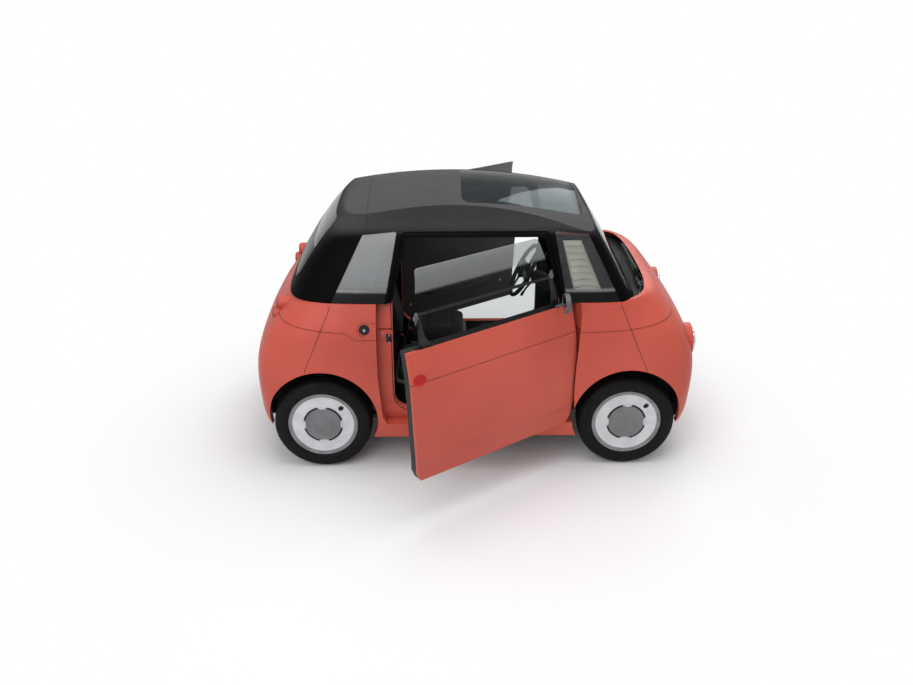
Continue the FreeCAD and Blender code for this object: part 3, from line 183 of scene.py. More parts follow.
def paintFinish(name, turn=None, hinge=(0, 0, 0), crease=True):
    # satin coral moulding; turn brings a door's open coordinates back to its closed place
    finish = Finish(name, specular_ior_level=0.26, coat_roughness=0.35)
    slow = finish.noise(1.7, 3.0)
    tone = finish.mix(slow.ramp(0.35, 0.7), paint["deep"], paint["coral"])
    finish.rough(finish.noise(26, 4.0).ramp(0.3, 0.7, 0.4, 0.5))
    finish.feed(finish.shader.inputs["Coat Weight"], finish.noise(5, 2.0).ramp(0.3, 0.7, 0.05, 0.12))
    height = finish.noise(1400, 2.0) * 0.02
    if crease:
        coords = finish.place()
        if turn is not None:
            back = finish.place(tuple(-v for v in hinge), turn)
            coords = finish.node("ShaderNodeVectorMath", {"operation": "ADD"}, back, hinge)
        along, across, up = finish.split(coords)
        flank = across.to("SIGN")
        past = (abs(along) - 0.6).to("MAXIMUM", 0.0)
        hinged = along * flank
        dip = 0.037 * hinged.ramp(0.72, 0.64) * hinged.ramp(0.536, 0.538)
        shoulder = 0.856 + past * past * 0.2 - dip  # raised shoulder under the windows
        above = up - shoulder
        line = above.ramp(-0.0045, -0.001) * above.ramp(0.0035, 0.0005)
        height = height + above.ramp(-0.006, 0.004) * 4.2 - line * 1.4
        height = height + (up - 0.412).ramp(-0.022, 0.022) * 4.4
        # the groove along the crease is painted a darker coral: painted shade
        tone = finish.mix(line * 0.4, tone, paint["shadow"])
        if turn is None:
            # the faces of the panels that look into the cabin are painted near black
            facingOut = finish.node("ShaderNodeNewGeometry", None, out="True Normal")
            outAcross = finish.split(facingOut)[1]
            inner = (0.0 - outAcross * flank).ramp(0.25, 0.45) * abs(along).ramp(0.8, 0.79)
            tone = finish.mix(inner, tone, paint["inside"])
    finish.colour(tone)
    finish.bump(height, 1.0, 0.0016)
    return finish.material


doorHinge = {"right": (0.512, -0.655, 0.0), "left": (-0.512, 0.655, 0.0), "turn": math.radians(35)}
coral = paintFinish("coralPaint")
doorCoral = {word: paintFinish("coralDoor" + word.title(), -doorHinge["turn"], doorHinge[word])
             for word in ("right", "left")}
plainCoral = paintFinish("coralPlain", crease=False)

roofBlack = Finish("roofBlack", specular_ior_level=0.04)
roofBlack.varied(shade((10, 10, 11)), shade((15, 15, 16)), 2.2, 0.48, 0.6, 0.06, 1500)
# the roof's colour follows how far each face looks up: painted light on top, painted shade on the sides
roofLean = roofBlack.split(roofBlack.node("ShaderNodeNewGeometry", None, out="True Normal"))[2]
roofTopLight = roofLean.ramp(0.55, 0.93) * roofBlack.noise(2.2, 3.0).ramp(0.2, 0.8, 0.8, 1.0)
roofBlack.colour(roofBlack.mix(roofTopLight, shade((6, 6, 6)), shade((76, 76, 77))))  # faces that look up are painted light grey and the sides near black: painted light and shade, with a slight random change
roofBlack = roofBlack.material


def plasticFinish(name, dark, light, grain=0.35, rough=(0.5, 0.65), grainScale=1100):
    finish = Finish(name, specular_ior_level=0.4)
    finish.varied(shade(dark), shade(light), 9, rough[0], rough[1], grain, grainScale)
    return finish.material


darkTrim = plasticFinish("darkTrim", (22, 22, 23), (31, 31, 32))
softBlack = plasticFinish("softBlack", (14, 14, 15), (22, 22, 23), 0.2, (0.62, 0.78))
rubber = plasticFinish("sealRubber", (12, 12, 12), (19, 19, 20), 0.15, (0.55, 0.7), 700)
greyTrim = plasticFinish("greyTrim", (84, 86, 88), (98, 100, 102), 0.25, (0.4, 0.55))
ivory = plasticFinish("ivoryMoulding", (226, 221, 206), (238, 234, 222), 0.12, (0.45, 0.6))
redPlastic = plasticFinish("redPull", (162, 14, 13), (180, 20, 18), 0.1, (0.35, 0.45))
coralShadow = plasticFinish("coralShadow", (150, 62, 52), (160, 68, 58), 0.1, (0.5, 0.6))
blankPlate = plasticFinish("blankPlate", (206, 208, 210), (222, 223, 224), 0.06, (0.3, 0.4))


def metalFinish(name, dark, light, rough=(0.3, 0.45), scale=30, grain=0.15, metallic=1.0):
    finish = Finish(name, metallic=metallic)
    finish.varied(shade(dark), shade(light), scale, rough[0], rough[1], grain, 500)
    return finish.material


steel = metalFinish("bareSteel", (150, 152, 155), (178, 180, 183))
castAlloy = metalFinish("castAlloy", (138, 140, 143), (160, 162, 165), (0.5, 0.65), 40, 0.5)
castIron = metalFinish("castIron", (62, 62, 64), (84, 84, 86), (0.55, 0.75), 50, 0.6)
framePaint = metalFinish("framePaint", (24, 24, 26), (36, 36, 38), (0.42, 0.6), 18, 0.25, 0.0)
chrome = metalFinish("brightChrome", (222, 223, 226), (236, 237, 240), (0.08, 0.14), 12, 0.02)
discSilver = metalFinish("wheelSilver", (196, 198, 201), (208, 210, 212), (0.42, 0.52), 14, 0.05, 0.0)
lipGrey = metalFinish("rimGrey", (120, 122, 124), (138, 140, 142), (0.38, 0.5), 16, 0.08, 0.35)
capGrey = metalFinish("capGrey", (104, 106, 108), (116, 118, 120), (0.45, 0.55), 16, 0.08, 0.0)


def glassFinish(name, tint, film, paleReflectionFrom=None, paleReflectionAmount=0.4, darkReflectionTo=None, dark=0.85, paleReflectionTone=(168, 170, 171)):
    # thin glass: clear from the front, mirror-like at a shallow angle; a pale grey band above the first
    # height is a painted reflection and a black band below the second height is a painted dark reflection,
    # both heights in metres
    finish = Finish(name, specular_ior_level=0.2)
    see = finish.node("ShaderNodeBsdfTransparent", None, Color=tint)
    edge = finish.node("ShaderNodeFresnel", None, IOR=1.38)
    cover = finish.noise(0.8, 1.0).ramp(0.3, 0.7, film * 0.6, film)
    tone = finish.mix(cover, shade((205, 208, 210)), shade((222, 224, 226)))
    metal = 1.0
    if paleReflectionFrom is not None:
        along, across, up = finish.split(finish.place())
        # above the first height the glass is painted pale grey: a painted reflection
        paleReflectionMask = (up - paleReflectionFrom).ramp(-0.012, 0.012) * (0.75 + (up - paleReflectionFrom) * 0.9)
        if darkReflectionTo is not None:
            paleReflectionMask = paleReflectionMask * along.ramp(0.25, 0.3, 1.0, 0.22)  # the painted pale reflection is weaker ahead of the doors
        cover = cover + paleReflectionMask * paleReflectionAmount
        metal = metal - paleReflectionMask.ramp(0.0, 0.4)
        tone = finish.mix(paleReflectionMask, tone, shade(paleReflectionTone))
        if darkReflectionTo is not None:
            # below the second height the glass is painted black, as far as the dark value says: a painted
            # dark reflection
            darkReflectionMask = (up - darkReflectionTo).ramp(0.022, -0.008)
            cover = cover + darkReflectionMask * dark
            metal = metal * (1.0 - darkReflectionMask)
            tone = finish.mix(darkReflectionMask, tone, shade((8, 8, 9)))
    finish.colour(tone)
    finish.feed(finish.shader.inputs["Metallic"], metal)
    finish.rough(cover.ramp(0.0, 1.0, 0.04, 0.25))
    finish.blend((edge * 0.8 + cover).ramp(0.0, 1.0), see, finish.own())
    return finish.material


paneGlass = glassFinish("windowGlass", (0.8, 0.83, 0.83), 0.03)
# the quarter, rear and door glass carry painted reflection bands at the heights given
quarterGlass = glassFinish("quarterGlass", (0.9, 0.92, 0.92), 0.02, 1.08, 0.5, 1.066, 1.0)
rearGlass = glassFinish("rearGlass", (0.26, 0.28, 0.28), 0.02, 1.262, 0.4, 1.25, 0.9, (120, 122, 123))
doorPane = glassFinish("doorGlass", (0.8, 0.82, 0.82), 0.015, 1.262, 0.42)


def lensFinish(name, tint, rib=0.0):
    finish = Finish(name, base_color=tint, transmission_weight=0.85, roughness=0.06, ior=1.46)
    along, across, up = finish.split(finish.place())
    finish.rough(finish.noise(40, 3.0).ramp(0.3, 0.7, 0.04, 0.12))
    if rib:
        finish.bump((across * rib).to("SINE"), 0.35, 0.0008)
    return finish.material


clearLens = lensFinish("clearLens", (0.92, 0.93, 0.95), 900)
redLens = Finish("redLens", base_color=shade((168, 22, 18)), transmission_weight=0.25, coat_weight=0.6)
redLens.varied(shade((150, 18, 15)), shade((182, 26, 20)), 30, 0.12, 0.2, 0.3, 420)
redLens = redLens.material
mirrorFace = metalFinish("mirrorFace", (215, 218, 222), (225, 228, 232), (0.02, 0.05), 10, 0.01)


def clothFinish(name, dark, light, scale=820):
    # woven cloth: two crossed thread waves over a soft colour change
    finish = Finish(name, specular_ior_level=0.2)
    along, across, up = finish.split(finish.place())
    weave = ((along + up * 0.9) * scale).to("SINE") * ((across + up * 0.2) * scale).to("SINE")
    slow = finish.noise(14, 4.0)
    base = finish.mix(slow.ramp(0.3, 0.7), shade(dark), shade(light))
    finish.colour(finish.mix(weave.ramp(-1, 1, 0.0, 0.35), base, shade(tuple(v + 16 for v in light))))
    finish.rough(weave.ramp(-1, 1, 0.95, 0.78))
    finish.bump(weave, 0.5, 0.0007)
    return finish.material


seatCloth = clothFinish("seatCloth", (30, 30, 32), (44, 44, 46))
carpet = clothFinish("floorCarpet", (20, 20, 21), (29, 29, 30), 1300)
webbing = clothFinish("beltWebbing", (24, 24, 25), (32, 32, 33), 2100)
print("finishes made")


# construction nodes take their finish, and each finish has a slot for added pieces

nodeFinish = [
    (coral, "front_cap rear_cap side_panel_right side_panel_left"),
    (doorCoral["right"], "door_right_skin"), (doorCoral["left"], "door_left_skin"),
    (plainCoral, "lamp_lids tail_lamps"), (roofBlack, "roof_frame rear_hoop"),
    (paneGlass, "windscreen roof_glass"), (rearGlass, "rear_window"), (quarterGlass, "quarter_windows"),
    (doorPane, "door_right_glass door_left_glass"), (ivory, "pillar_pad"), (carpet, "floor_pan"),
    (darkTrim, "door_right_inner door_left_inner dashboard seat_plinths plate_holder"),
    (greyTrim, "mirror_right mirror_left"), (steel, "door_hinges drive_shafts tie_rods"),
    (softBlack, "cowl steering_column steering_wheel driver_controls"),
    (softBlack, "rear_shelf wheel_housings bulkhead wiper"),
    (framePaint, "chassis_frame rear_axle_beam suspension_struts front_lower_arms"),
    (castAlloy, "battery_box motor_block rack_housing"), (castIron, "knuckle_right knuckle_left"),
    (seatCloth, "seat_cushions seat_backrests"), (clearLens, "head_lamps small_lamps"),
    (rubber, "tyre_front_right tyre_front_left tyre_rear_right tyre_rear_left"),
    (lipGrey, "rim_front_right rim_front_left rim_rear_right rim_rear_left"),
]
for material, names in nodeFinish:
    for name in names.split():
        nodes[name].data.materials.clear()
        nodes[name].data.materials.append(material)
print("construction nodes finished")


# modelling helpers

def clearAll():
    if bpy.context.object and bpy.context.object.mode != "OBJECT":
        bpy.ops.object.mode_set(mode="OBJECT")
    bpy.ops.object.select_all(action="DESELECT")


def only(piece):
    clearAll()
    piece.select_set(True)
    bpy.context.view_layer.objects.active = piece
    return piece


def added():
    # the object that an add operator has just made, with nothing else selected
    return only(bpy.context.object)


def edit(piece, mode="VERT"):
    only(piece)
    bpy.ops.object.mode_set(mode="EDIT")
    bpy.ops.mesh.select_mode(type=mode)


def outward(doubles=0.0):
    # merges doubles, turns all normals outward and leaves edit mode
    bpy.ops.mesh.select_all(action="SELECT")
    if doubles:
        bpy.ops.mesh.remove_doubles(threshold=doubles)
    bpy.ops.mesh.normals_make_consistent(inside=False)
    bpy.ops.object.mode_set(mode="OBJECT")


def sunk(piece, way, border, depth):
    # the faces that look along way get a border and sink against it
    only(piece)
    way = Vector(way)
    mesh = piece.data
    bpy.context.tool_settings.mesh_select_mode = (False, False, True)
    for group in (mesh.vertices, mesh.edges, mesh.polygons):
        group.foreach_set("select", [False] * len(group))
    for face in mesh.polygons:
        face.select = face.normal.dot(way) > 0.9
    bpy.ops.object.mode_set(mode="EDIT")
    bpy.ops.mesh.inset(thickness=border)
    bpy.ops.transform.translate(value=tuple(way * -depth))
    bpy.ops.object.mode_set(mode="OBJECT")
    return piece


def finished(piece, name, material, stand=None, body="body", smooth=40):
    # closes the modelling of a piece: place into its mesh, finish, body and slot
    clearAll()
    only(piece)
    if stand is not None:
        piece.data.transform(stand)
    piece.name = name
    bpy.ops.object.transform_apply(location=True, rotation=True, scale=True)
    edit(piece)
    outward(doubles=0.00002)
    bpy.ops.object.shade_smooth_by_angle(angle=math.radians(smooth))
    piece.data.materials.clear()
    piece.data.materials.append(material)
    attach(piece, body)
    clearAll()
    return piece


def modified(piece, kind, **settings):
    only(piece)
    modifier = piece.modifiers.new(kind.title(), kind)
    for key, value in settings.items():
        setattr(modifier, key, value)
    bpy.ops.object.modifier_apply(modifier=modifier.name)
    return piece


def placed(piece, frameMatrix):
    # moves a mesh modelled at the origin into place
    only(piece)
    piece.data.transform(frameMatrix)
    piece.data.update()
    return piece


def facing(centre, axis, up=(0, 0, 1)):
    # a matrix whose Z lies along axis and whose Y leans to up
    z = Vector(axis).normalized()
    x = Vector(up).cross(z)
    if x.length < 1e-4:
        x = Vector((0, 1, 0)).cross(z)
    x.normalize()
    y = z.cross(x)
    turn = Matrix((x, y, z)).transposed().to_4x4()
    return Matrix.Translation(Vector(centre)) @ turn


pointRadius = 0.0002  # a ring's least radius, so that it can be resized again


def turned(profile, steps=96, closed=False):
    # a ring is extruded and resized through the profile of (radius, height) about Z
    first, height = profile[0]
    radius = max(first, pointRadius)
    bpy.ops.mesh.primitive_circle_add(vertices=steps, radius=radius, location=(0, 0, 0))
    piece = added()
    edit(piece)
    bpy.ops.mesh.select_all(action="SELECT")
    bpy.ops.transform.translate(value=(0, 0, height))
    rings = list(profile[1:]) + ([profile[0]] if closed else [])
    for nextRadius, nextHeight in rings:
        nextRadius = max(nextRadius, pointRadius)
        bpy.ops.mesh.extrude_edges_move(TRANSFORM_OT_translate={"value": (0, 0, nextHeight - height)})
        factor = nextRadius / radius
        bpy.ops.transform.resize(value=(factor, factor, 1), center_override=(0, 0, nextHeight))
        radius, height = nextRadius, nextHeight
    bpy.ops.mesh.select_all(action="SELECT")
    bpy.ops.mesh.remove_doubles(threshold=0.00001)
    if not closed:
        bpy.ops.mesh.select_all(action="DESELECT")
        bpy.ops.mesh.select_non_manifold()
        bpy.ops.mesh.fill_holes(sides=steps + 1)
    outward()
    return piece


def plate(outline, thickness, bevel=0.0, segments=2, steps=1):
    # an outline of (x, y) is filled, extruded along Z by the thickness and rounded
    bpy.ops.mesh.primitive_circle_add(vertices=len(outline), radius=1, fill_type="NGON")
    piece = added()
    for vertex, (x, y) in zip(piece.data.vertices, outline):
        vertex.co = (x, y, 0)
    edit(piece, "FACE")
    bpy.ops.mesh.select_all(action="SELECT")
    for step in range(steps):
        bpy.ops.mesh.extrude_region_move(TRANSFORM_OT_translate={"value": (0, 0, thickness / steps)})
    outward()
    if bevel:
        modified(piece, "BEVEL", width=bevel, segments=segments, limit_method="ANGLE")
    return piece


def block(size, centre, bevel, segments=3, inset=None):
    # a rounded block, with an inset and sunk face where a face normal is given
    bpy.ops.mesh.primitive_cube_add(size=1, location=centre)
    piece = added()
    piece.scale = size
    bpy.ops.object.transform_apply(location=True, rotation=True, scale=True)
    if inset is not None:
        sunk(piece, *inset)
    modified(piece, "BEVEL", width=bevel, segments=segments, limit_method="ANGLE")
    return piece


def tube(points, radius, closed=False, sides=8, flat=None):
    # a smooth run through the points with a round or flat section
    bpy.ops.curve.primitive_bezier_curve_add()
    piece = added()
    curve = piece.data
    curve.splines.clear()
    spline = curve.splines.new("POLY")
    spline.points.add(len(points) - 1)
    for item, point in zip(spline.points, points):
        item.co = (*point, 1)
    spline.use_cyclic_u = closed
    curve.dimensions = "3D"
    if flat is None:
        curve.bevel_depth = radius
        curve.bevel_resolution = max(1, sides // 4)
    else:
        curve.extrude = flat / 2
        curve.bevel_depth = radius
        curve.bevel_resolution = 1
    curve.use_fill_caps = True
    piece.location = (0, 0, 0)
    bpy.ops.object.convert(target="MESH")
    return only(bpy.context.object)


def twin(piece, move):
    # a copy with its own mesh, moved by the matrix
    only(piece)
    bpy.ops.object.duplicate(linked=False)
    item = bpy.context.object
    item.data.transform(move)
    return item


def copied(piece, moves):
    # copies of a piece, joined in its place
    copies = [twin(piece, move) for move in moves]
    clearAll()
    bpy.data.objects.remove(piece, do_unlink=True)
    return joined(copies)


def joined(pieces):
    clearAll()
    for piece in pieces:
        piece.select_set(True)
    bpy.context.view_layer.objects.active = pieces[0]
    if len(pieces) > 1:
        bpy.ops.object.join()
    return only(bpy.context.object)


def cast(node, start, way):
    # where a line from start first meets a construction node, and the skin's normal there
    hit, point, normal, index = nodes[node].ray_cast(Vector(start), Vector(way).normalized())
    return (point, normal) if hit else (None, None)


def traced(names, starts, way):
    # points on the skin of the named nodes, seen along one way
    found = []
    for start in starts:
        hits = [cast(name, start, way)[0] for name in names]
        hits = [point for point in hits if point is not None]
        if hits:
            found.append(tuple(min(hits, key=lambda point: (point - Vector(start)).length)))
    return found


def between(first, last, count):
    return [tuple(Vector(first).lerp(Vector(last), i / (count - 1))) for i in range(count)]


def alongPath(corners, step):
    # evenly spaced points along a path of corners
    points = []
    for first, last in zip(corners, corners[1:]):
        count = max(2, int((Vector(last) - Vector(first)).length / step) + 1)
        run = between(first, last, count)
        points += run if not points else run[1:]
    return points


def oblong(wide, tall):
    # a rectangle's outline from half its width and height
    return [(-wide, -tall), (wide, -tall), (wide, tall), (-wide, tall)]


def doorTurn(word):
    # from a door's closed place to where it stands open
    at = Matrix.Translation(Vector(doorHinge[word]))
    return at @ Matrix.Rotation(doorHinge["turn"], 4, "Z") @ at.inverted()


bothSides = ((-1, "Right"), (1, "Left"))


# wheels

wheel = {"x": 0.865, "y": 0.5875, "z": 0.2785, "steps": 112}
tyreProfile = [
    (0.1795, -0.0615), (0.1975, -0.0617), (0.1978, -0.0662), (0.2015, -0.0702), (0.2105, -0.0748),
    (0.224, -0.0768), (0.238, -0.0762), (0.2505, -0.0738), (0.2605, -0.07), (0.2672, -0.0652),
    (0.2715, -0.059), (0.2735, -0.0545), (0.2752, -0.049), (0.2757, -0.04), (0.2697, -0.0392),
    (0.2697, -0.033), (0.2765, -0.0322), (0.2774, -0.018), (0.2705, -0.0172), (0.2705, -0.01),
    (0.2777, -0.0092), (0.2779, 0.0092), (0.2705, 0.01), (0.2705, 0.0172), (0.2774, 0.018),
    (0.2765, 0.0322), (0.2697, 0.033), (0.2697, 0.0392), (0.2757, 0.04), (0.2752, 0.049),
    (0.2735, 0.0545), (0.2715, 0.059), (0.2672, 0.0652), (0.2605, 0.07), (0.2505, 0.0738),
    (0.238, 0.0762), (0.224, 0.0768), (0.2105, 0.0748), (0.2015, 0.0702), (0.1978, 0.0662),
    (0.1975, 0.0617), (0.1795, 0.0615),
]


def tyreFinish(name, centre):
    # rubber with cross sipes in the tread and fine rings on the wall, centred on its wheel
    finish = Finish(name, specular_ior_level=0.2)
    along, across, up = finish.split(finish.place(tuple(-v for v in centre)))
    angle = up.to("ARCTAN2", along)
    radius = (along * along + up * up) ** 0.5
    lean = abs(across) * 9.0
    sipe = ((angle + lean * 0.06) * 96.0).to("SINE")
    treadOnly = radius.ramp(0.2725, 0.2745)
    wallRing = (radius * 1900.0).to("SINE")
    wallOnly = radius.ramp(0.205, 0.212) * radius.ramp(0.262, 0.255)
    height = sipe.ramp(-0.95, -0.75) * treadOnly + wallRing * wallOnly * 0.05
    finish.bump(height + finish.noise(600, 3.0) * 0.06, 0.8, 0.0018)
    dust = finish.noise(18, 5.0).ramp(0.4, 0.75, 0.0, 0.6)
    finish.colour(finish.mix(dust, shade((8, 8, 8)), shade((14, 14, 14))))
    finish.rough(finish.noise(60, 3.0).ramp(0.3, 0.7, 0.58, 0.74))
    return finish.material


def wheelPieces(end, side):
    ahead = wheel["x"] if end == "front" else -wheel["x"]
    out = 1 if side == "left" else -1
    centre = (ahead, out * wheel["y"], wheel["z"])
    stand = facing(centre, (0, out, 0))
    word = "%s%s" % (end.title(), side.title())
    body = "wheel_%s_%s" % (end, side)

    tyre = turned(tyreProfile, wheel["steps"], closed=True)
    finished(tyre, "tyre" + word, tyreFinish("tyreRubber" + word, centre), stand, body=body)
    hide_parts("tyre_%s_%s" % (end, side))

    # rolled lip, drop to the disc and the flat disc itself
    finished(turned([(0.1966, 0.06), (0.197, 0.0672), (0.1945, 0.069), (0.1905, 0.0688), (0.188, 0.066),
        (0.186, 0.06), (0.185, 0.059), (0.185, 0.056), (0.194, 0.056)], 96, closed=True),
        "rimLip" + word, lipGrey, stand, body=body, smooth=50)
    finished(turned([(0.1856, 0.0575), (0.1848, 0.0618), (0.1815, 0.0632), (0.178, 0.0622), (0.15, 0.0608),
        (0.118, 0.06), (0.1095, 0.0602), (0.106, 0.0612), (0.1045, 0.06), (0.1045, 0.056),
        (0.12, 0.0545), (0.18, 0.0545)], 96, closed=True), "wheelDisc" + word, discSilver, stand,
        body=body, smooth=50)
    finished(turned([(0.1043, 0.057), (0.1043, 0.0622), (0.103, 0.0632), (0.1, 0.0634), (0.0985, 0.0628),
        (0.06, 0.0636), (0.0585, 0.0642), (0.056, 0.0642), (0.0545, 0.0634), (0.03, 0.064),
        (0.0, 0.0641)], 96), "hubCap" + word, capGrey, stand, body=body, smooth=24)

    # four dark arc slots on the diagonals, pale tabs between them and the valve
    arcs = []
    for quarter in range(4):
        angles = [math.radians(45 + 90 * quarter) + math.radians(31) * (i / 10 - 1) for i in range(21)]
        arcs.append(tube([(0.1065 * math.cos(a), 0.1065 * math.sin(a), 0) for a in angles], 0.0072, sides=8))
    finished(joined(arcs), "capSlots" + word, softBlack,
        stand @ Matrix.Translation((0, 0, 0.0612)) @ Matrix.Diagonal((1, 1, 0.34, 1)), body=body, smooth=60)
    tabs = [placed(block((0.011, 0.03, 0.0035), (0.1045, 0, 0.0632), 0.0014, 2),
                   Matrix.Rotation(math.radians(90 * quarter), 4, "Z")) for quarter in range(4)]
    finished(joined(tabs), "capTabs" + word, discSilver, stand, body=body)
    valve = turned([(0.006, 0.056), (0.006, 0.0612), (0.0042, 0.0622), (0.004, 0.0672),
                    (0.0034, 0.068), (0.0, 0.068)], 20)
    lean = Matrix.Rotation(0.77, 4, "Z") @ Matrix.Translation((0.149, 0, 0))
    hole = turned([(0.016, 0.059), (0.016, 0.0612), (0.0148, 0.0618), (0.013, 0.0614), (0.0, 0.0613)], 40)
    placed(hole, Matrix.Diagonal((1.15, 0.85, 1, 1)))
    finished(joined([valve, hole]), "valve" + word, softBlack, stand @ lean, body=body)


for end in ("front", "rear"):
    for side in ("right", "left"):
        wheelPieces(end, side)
print("wheels done")


# body skin: seams, lock recess, striker and door seal

sidePanels = ("side_panel_right", "front_cap", "rear_cap")


def seamLines(name, starts, radius=0.0013, material=rubber):
    # a thin bead on the near side's skin, and its mirror image on the far side
    points = traced(sidePanels, starts, (0, 1, 0))
    far = [(x, -y, z) for x, y, z in points]
    lines = joined([tube(run, radius, sides=6) for run in (points, far)])
    finished(lines, name, material, smooth=60)


for word, sign in (("Front", 1), ("Rear", -1)):
    corners = [(sign * x, -1.0, z) for x, z in ((0.785, 0.995), (0.9395, 0.642), (0.9405, 0.618))]
    seamLines("capSeam" + word, alongPath(corners, 0.012))


def lidSeam(name, x0, x1):
    # small pressed tab outline under the window corners
    top, foot, soft = 1.004, 0.975, 0.012
    path = [(x0, -1, top), (x0, -1, foot + soft), (x0 + math.copysign(soft, x1 - x0), -1, foot),
            (x1 - math.copysign(soft, x1 - x0), -1, foot), (x1, -1, foot + soft), (x1, -1, top)]
    seamLines(name, alongPath(path, 0.008), 0.0007, coralShadow)


lidSeam("tabRear", -0.8, -0.712)
lidSeam("tabFront", 0.7, 0.785)

joint = {"x": -0.585, "z": 1.2, "reach": 2.0, "nodes": ("roof_frame", "rear_hoop", "roof_glass")}
found = []
for degrees in range(-76, 77, 4):
    angle = math.radians(degrees)
    start = (joint["x"], joint["reach"] * math.sin(angle), joint["z"] + joint["reach"] * math.cos(angle))
    found += traced(joint["nodes"], [start], Vector((joint["x"], 0, joint["z"])) - Vector(start))
finished(tube(found, 0.0016, sides=6), "roofJoint", rubber, smooth=60)

lock = {"x": -0.604, "z": 0.879, "rim": 0.037, "edge": -0.541}


def lockRecess(side):
    # raised D round a dark cup with the lock knob, just behind the shut line
    arc = [(lock["x"] - lock["rim"] * math.sin(a), lock["z"] + lock["rim"] * math.cos(a))
           for a in [math.pi * i / 16 for i in range(17)]]
    path = [(lock["edge"], lock["z"] + lock["rim"])] + arc + [(lock["edge"], lock["z"] - lock["rim"])]
    flip = -1 if side == "left" else 1
    names = ("side_panel_" + side,)
    starts = [(flip * x, -flip * 1.0, z) for x, z in path]
    finished(tube(traced(names, starts, (0, flip, 0)), 0.003, sides=10), "lockRim" + side.title(),
        coralShadow, smooth=60)
    point, normal = cast(names[0], (flip * lock["x"], -flip * 1.0, lock["z"]), (0, flip, 0))
    finished(turned([(0.0285, 0.0), (0.028, 0.0022), (0.0262, 0.003), (0.0247, 0.0022), (0.024, 0.0006),
        (0.0, 0.0006)], 48), "lockCup" + side.title(), softBlack, facing(point, normal))
    finished(turned([(0.0075, 0.0006), (0.0075, 0.0032), (0.0062, 0.004), (0.004, 0.004), (0.0035, 0.0032),
        (0.0, 0.0032)], 32), "lockKnob" + side.title(), steel,
        facing(point + Vector((0, 0, -0.004)), normal))


for side in ("right", "left"):
    lockRecess(side)


def strikerPlate(side):
    # latch plate on the side panel: a raised base, a dark plate, four bolts and the loop
    flip = -1 if side == "left" else 1
    point, normal = cast("side_panel_" + side, (flip * -0.49, -flip * 1.0, 0.8), (0, flip, 0))
    stand = facing(point, (0, -flip, 0))
    finished(plate(oblong(0.036, 0.052), 0.0016, 0.0006), "strikerBase" + side.title(), plainCoral, stand)
    finished(plate([(-0.001, -0.034), (0.03, -0.034), (0.03, 0.03), (-0.001, 0.03)], 0.0022, 0.0007),
        "strikerPocket" + side.title(), softBlack, stand)
    parts = []
    for x, z in ((-0.022, 0.034), (-0.022, -0.034), (0.016, -0.022), (0.016, 0.02)):
        bolt = turned([(0.0052, 0.0), (0.0052, 0.0026), (0.004, 0.0032), (0.0, 0.0032)], 6)
        parts.append(placed(bolt, stand @ Matrix.Translation((x, z, 0))))
    loop = tube([(0.016, -0.018, 0.0016), (0.012, -0.02, 0.002), (0.008, -0.014, 0.0022),
                 (0.008, 0.01, 0.0022), (0.012, 0.016, 0.002), (0.016, 0.014, 0.0016)], 0.0012, sides=12)
    placed(loop, stand)
    finished(joined(parts + [loop]), "strikerLoop" + side.title(), steel)


for side in ("right", "left"):
    strikerPlate(side)


def entrySeal(side):
    # soft rubber bead round the way in, below the belt and up the pillars
    flip = -1 if side == "left" else 1
    lower = [(-0.462, 0.992), (-0.462, 0.47), (-0.455, 0.42), (-0.43, 0.378), (-0.39, 0.357), (-0.36, 0.353),
             (0.36, 0.353), (0.39, 0.357), (0.43, 0.378), (0.455, 0.42), (0.462, 0.47), (0.462, 0.992)]
    starts = [(flip * x, -flip * 1.0, z) for x, y, z in alongPath([(x, 0, z) for x, z in lower], 0.02)]
    points = [point for point in traced(("side_panel_" + side,), starts, (0, flip, 0))
              if -flip * point[1] > 0.5]
    finished(tube(points, 0.0024, sides=10), "entrySeal" + side.title(), rubber, smooth=60)


for side in ("right", "left"):
    entrySeal(side)
print("body trim done")


# doors: pull disc, sail plates, glass brackets, belt lip and inner trim

door = {"discX": -0.482, "discZ": 0.873, "belt": 1.008, "lean": 0.155}


def onDoorSkin(word, x, z):
    # a point on the open door's outer skin, from its place on the closed door
    flip = -1 if word == "left" else 1
    turn = doorTurn(word)
    start = turn @ Vector((flip * x, -flip * 1.2, z))
    way = turn.to_3x3() @ Vector((0, flip, 0))
    return cast("door_%s_skin" % word, start, way)


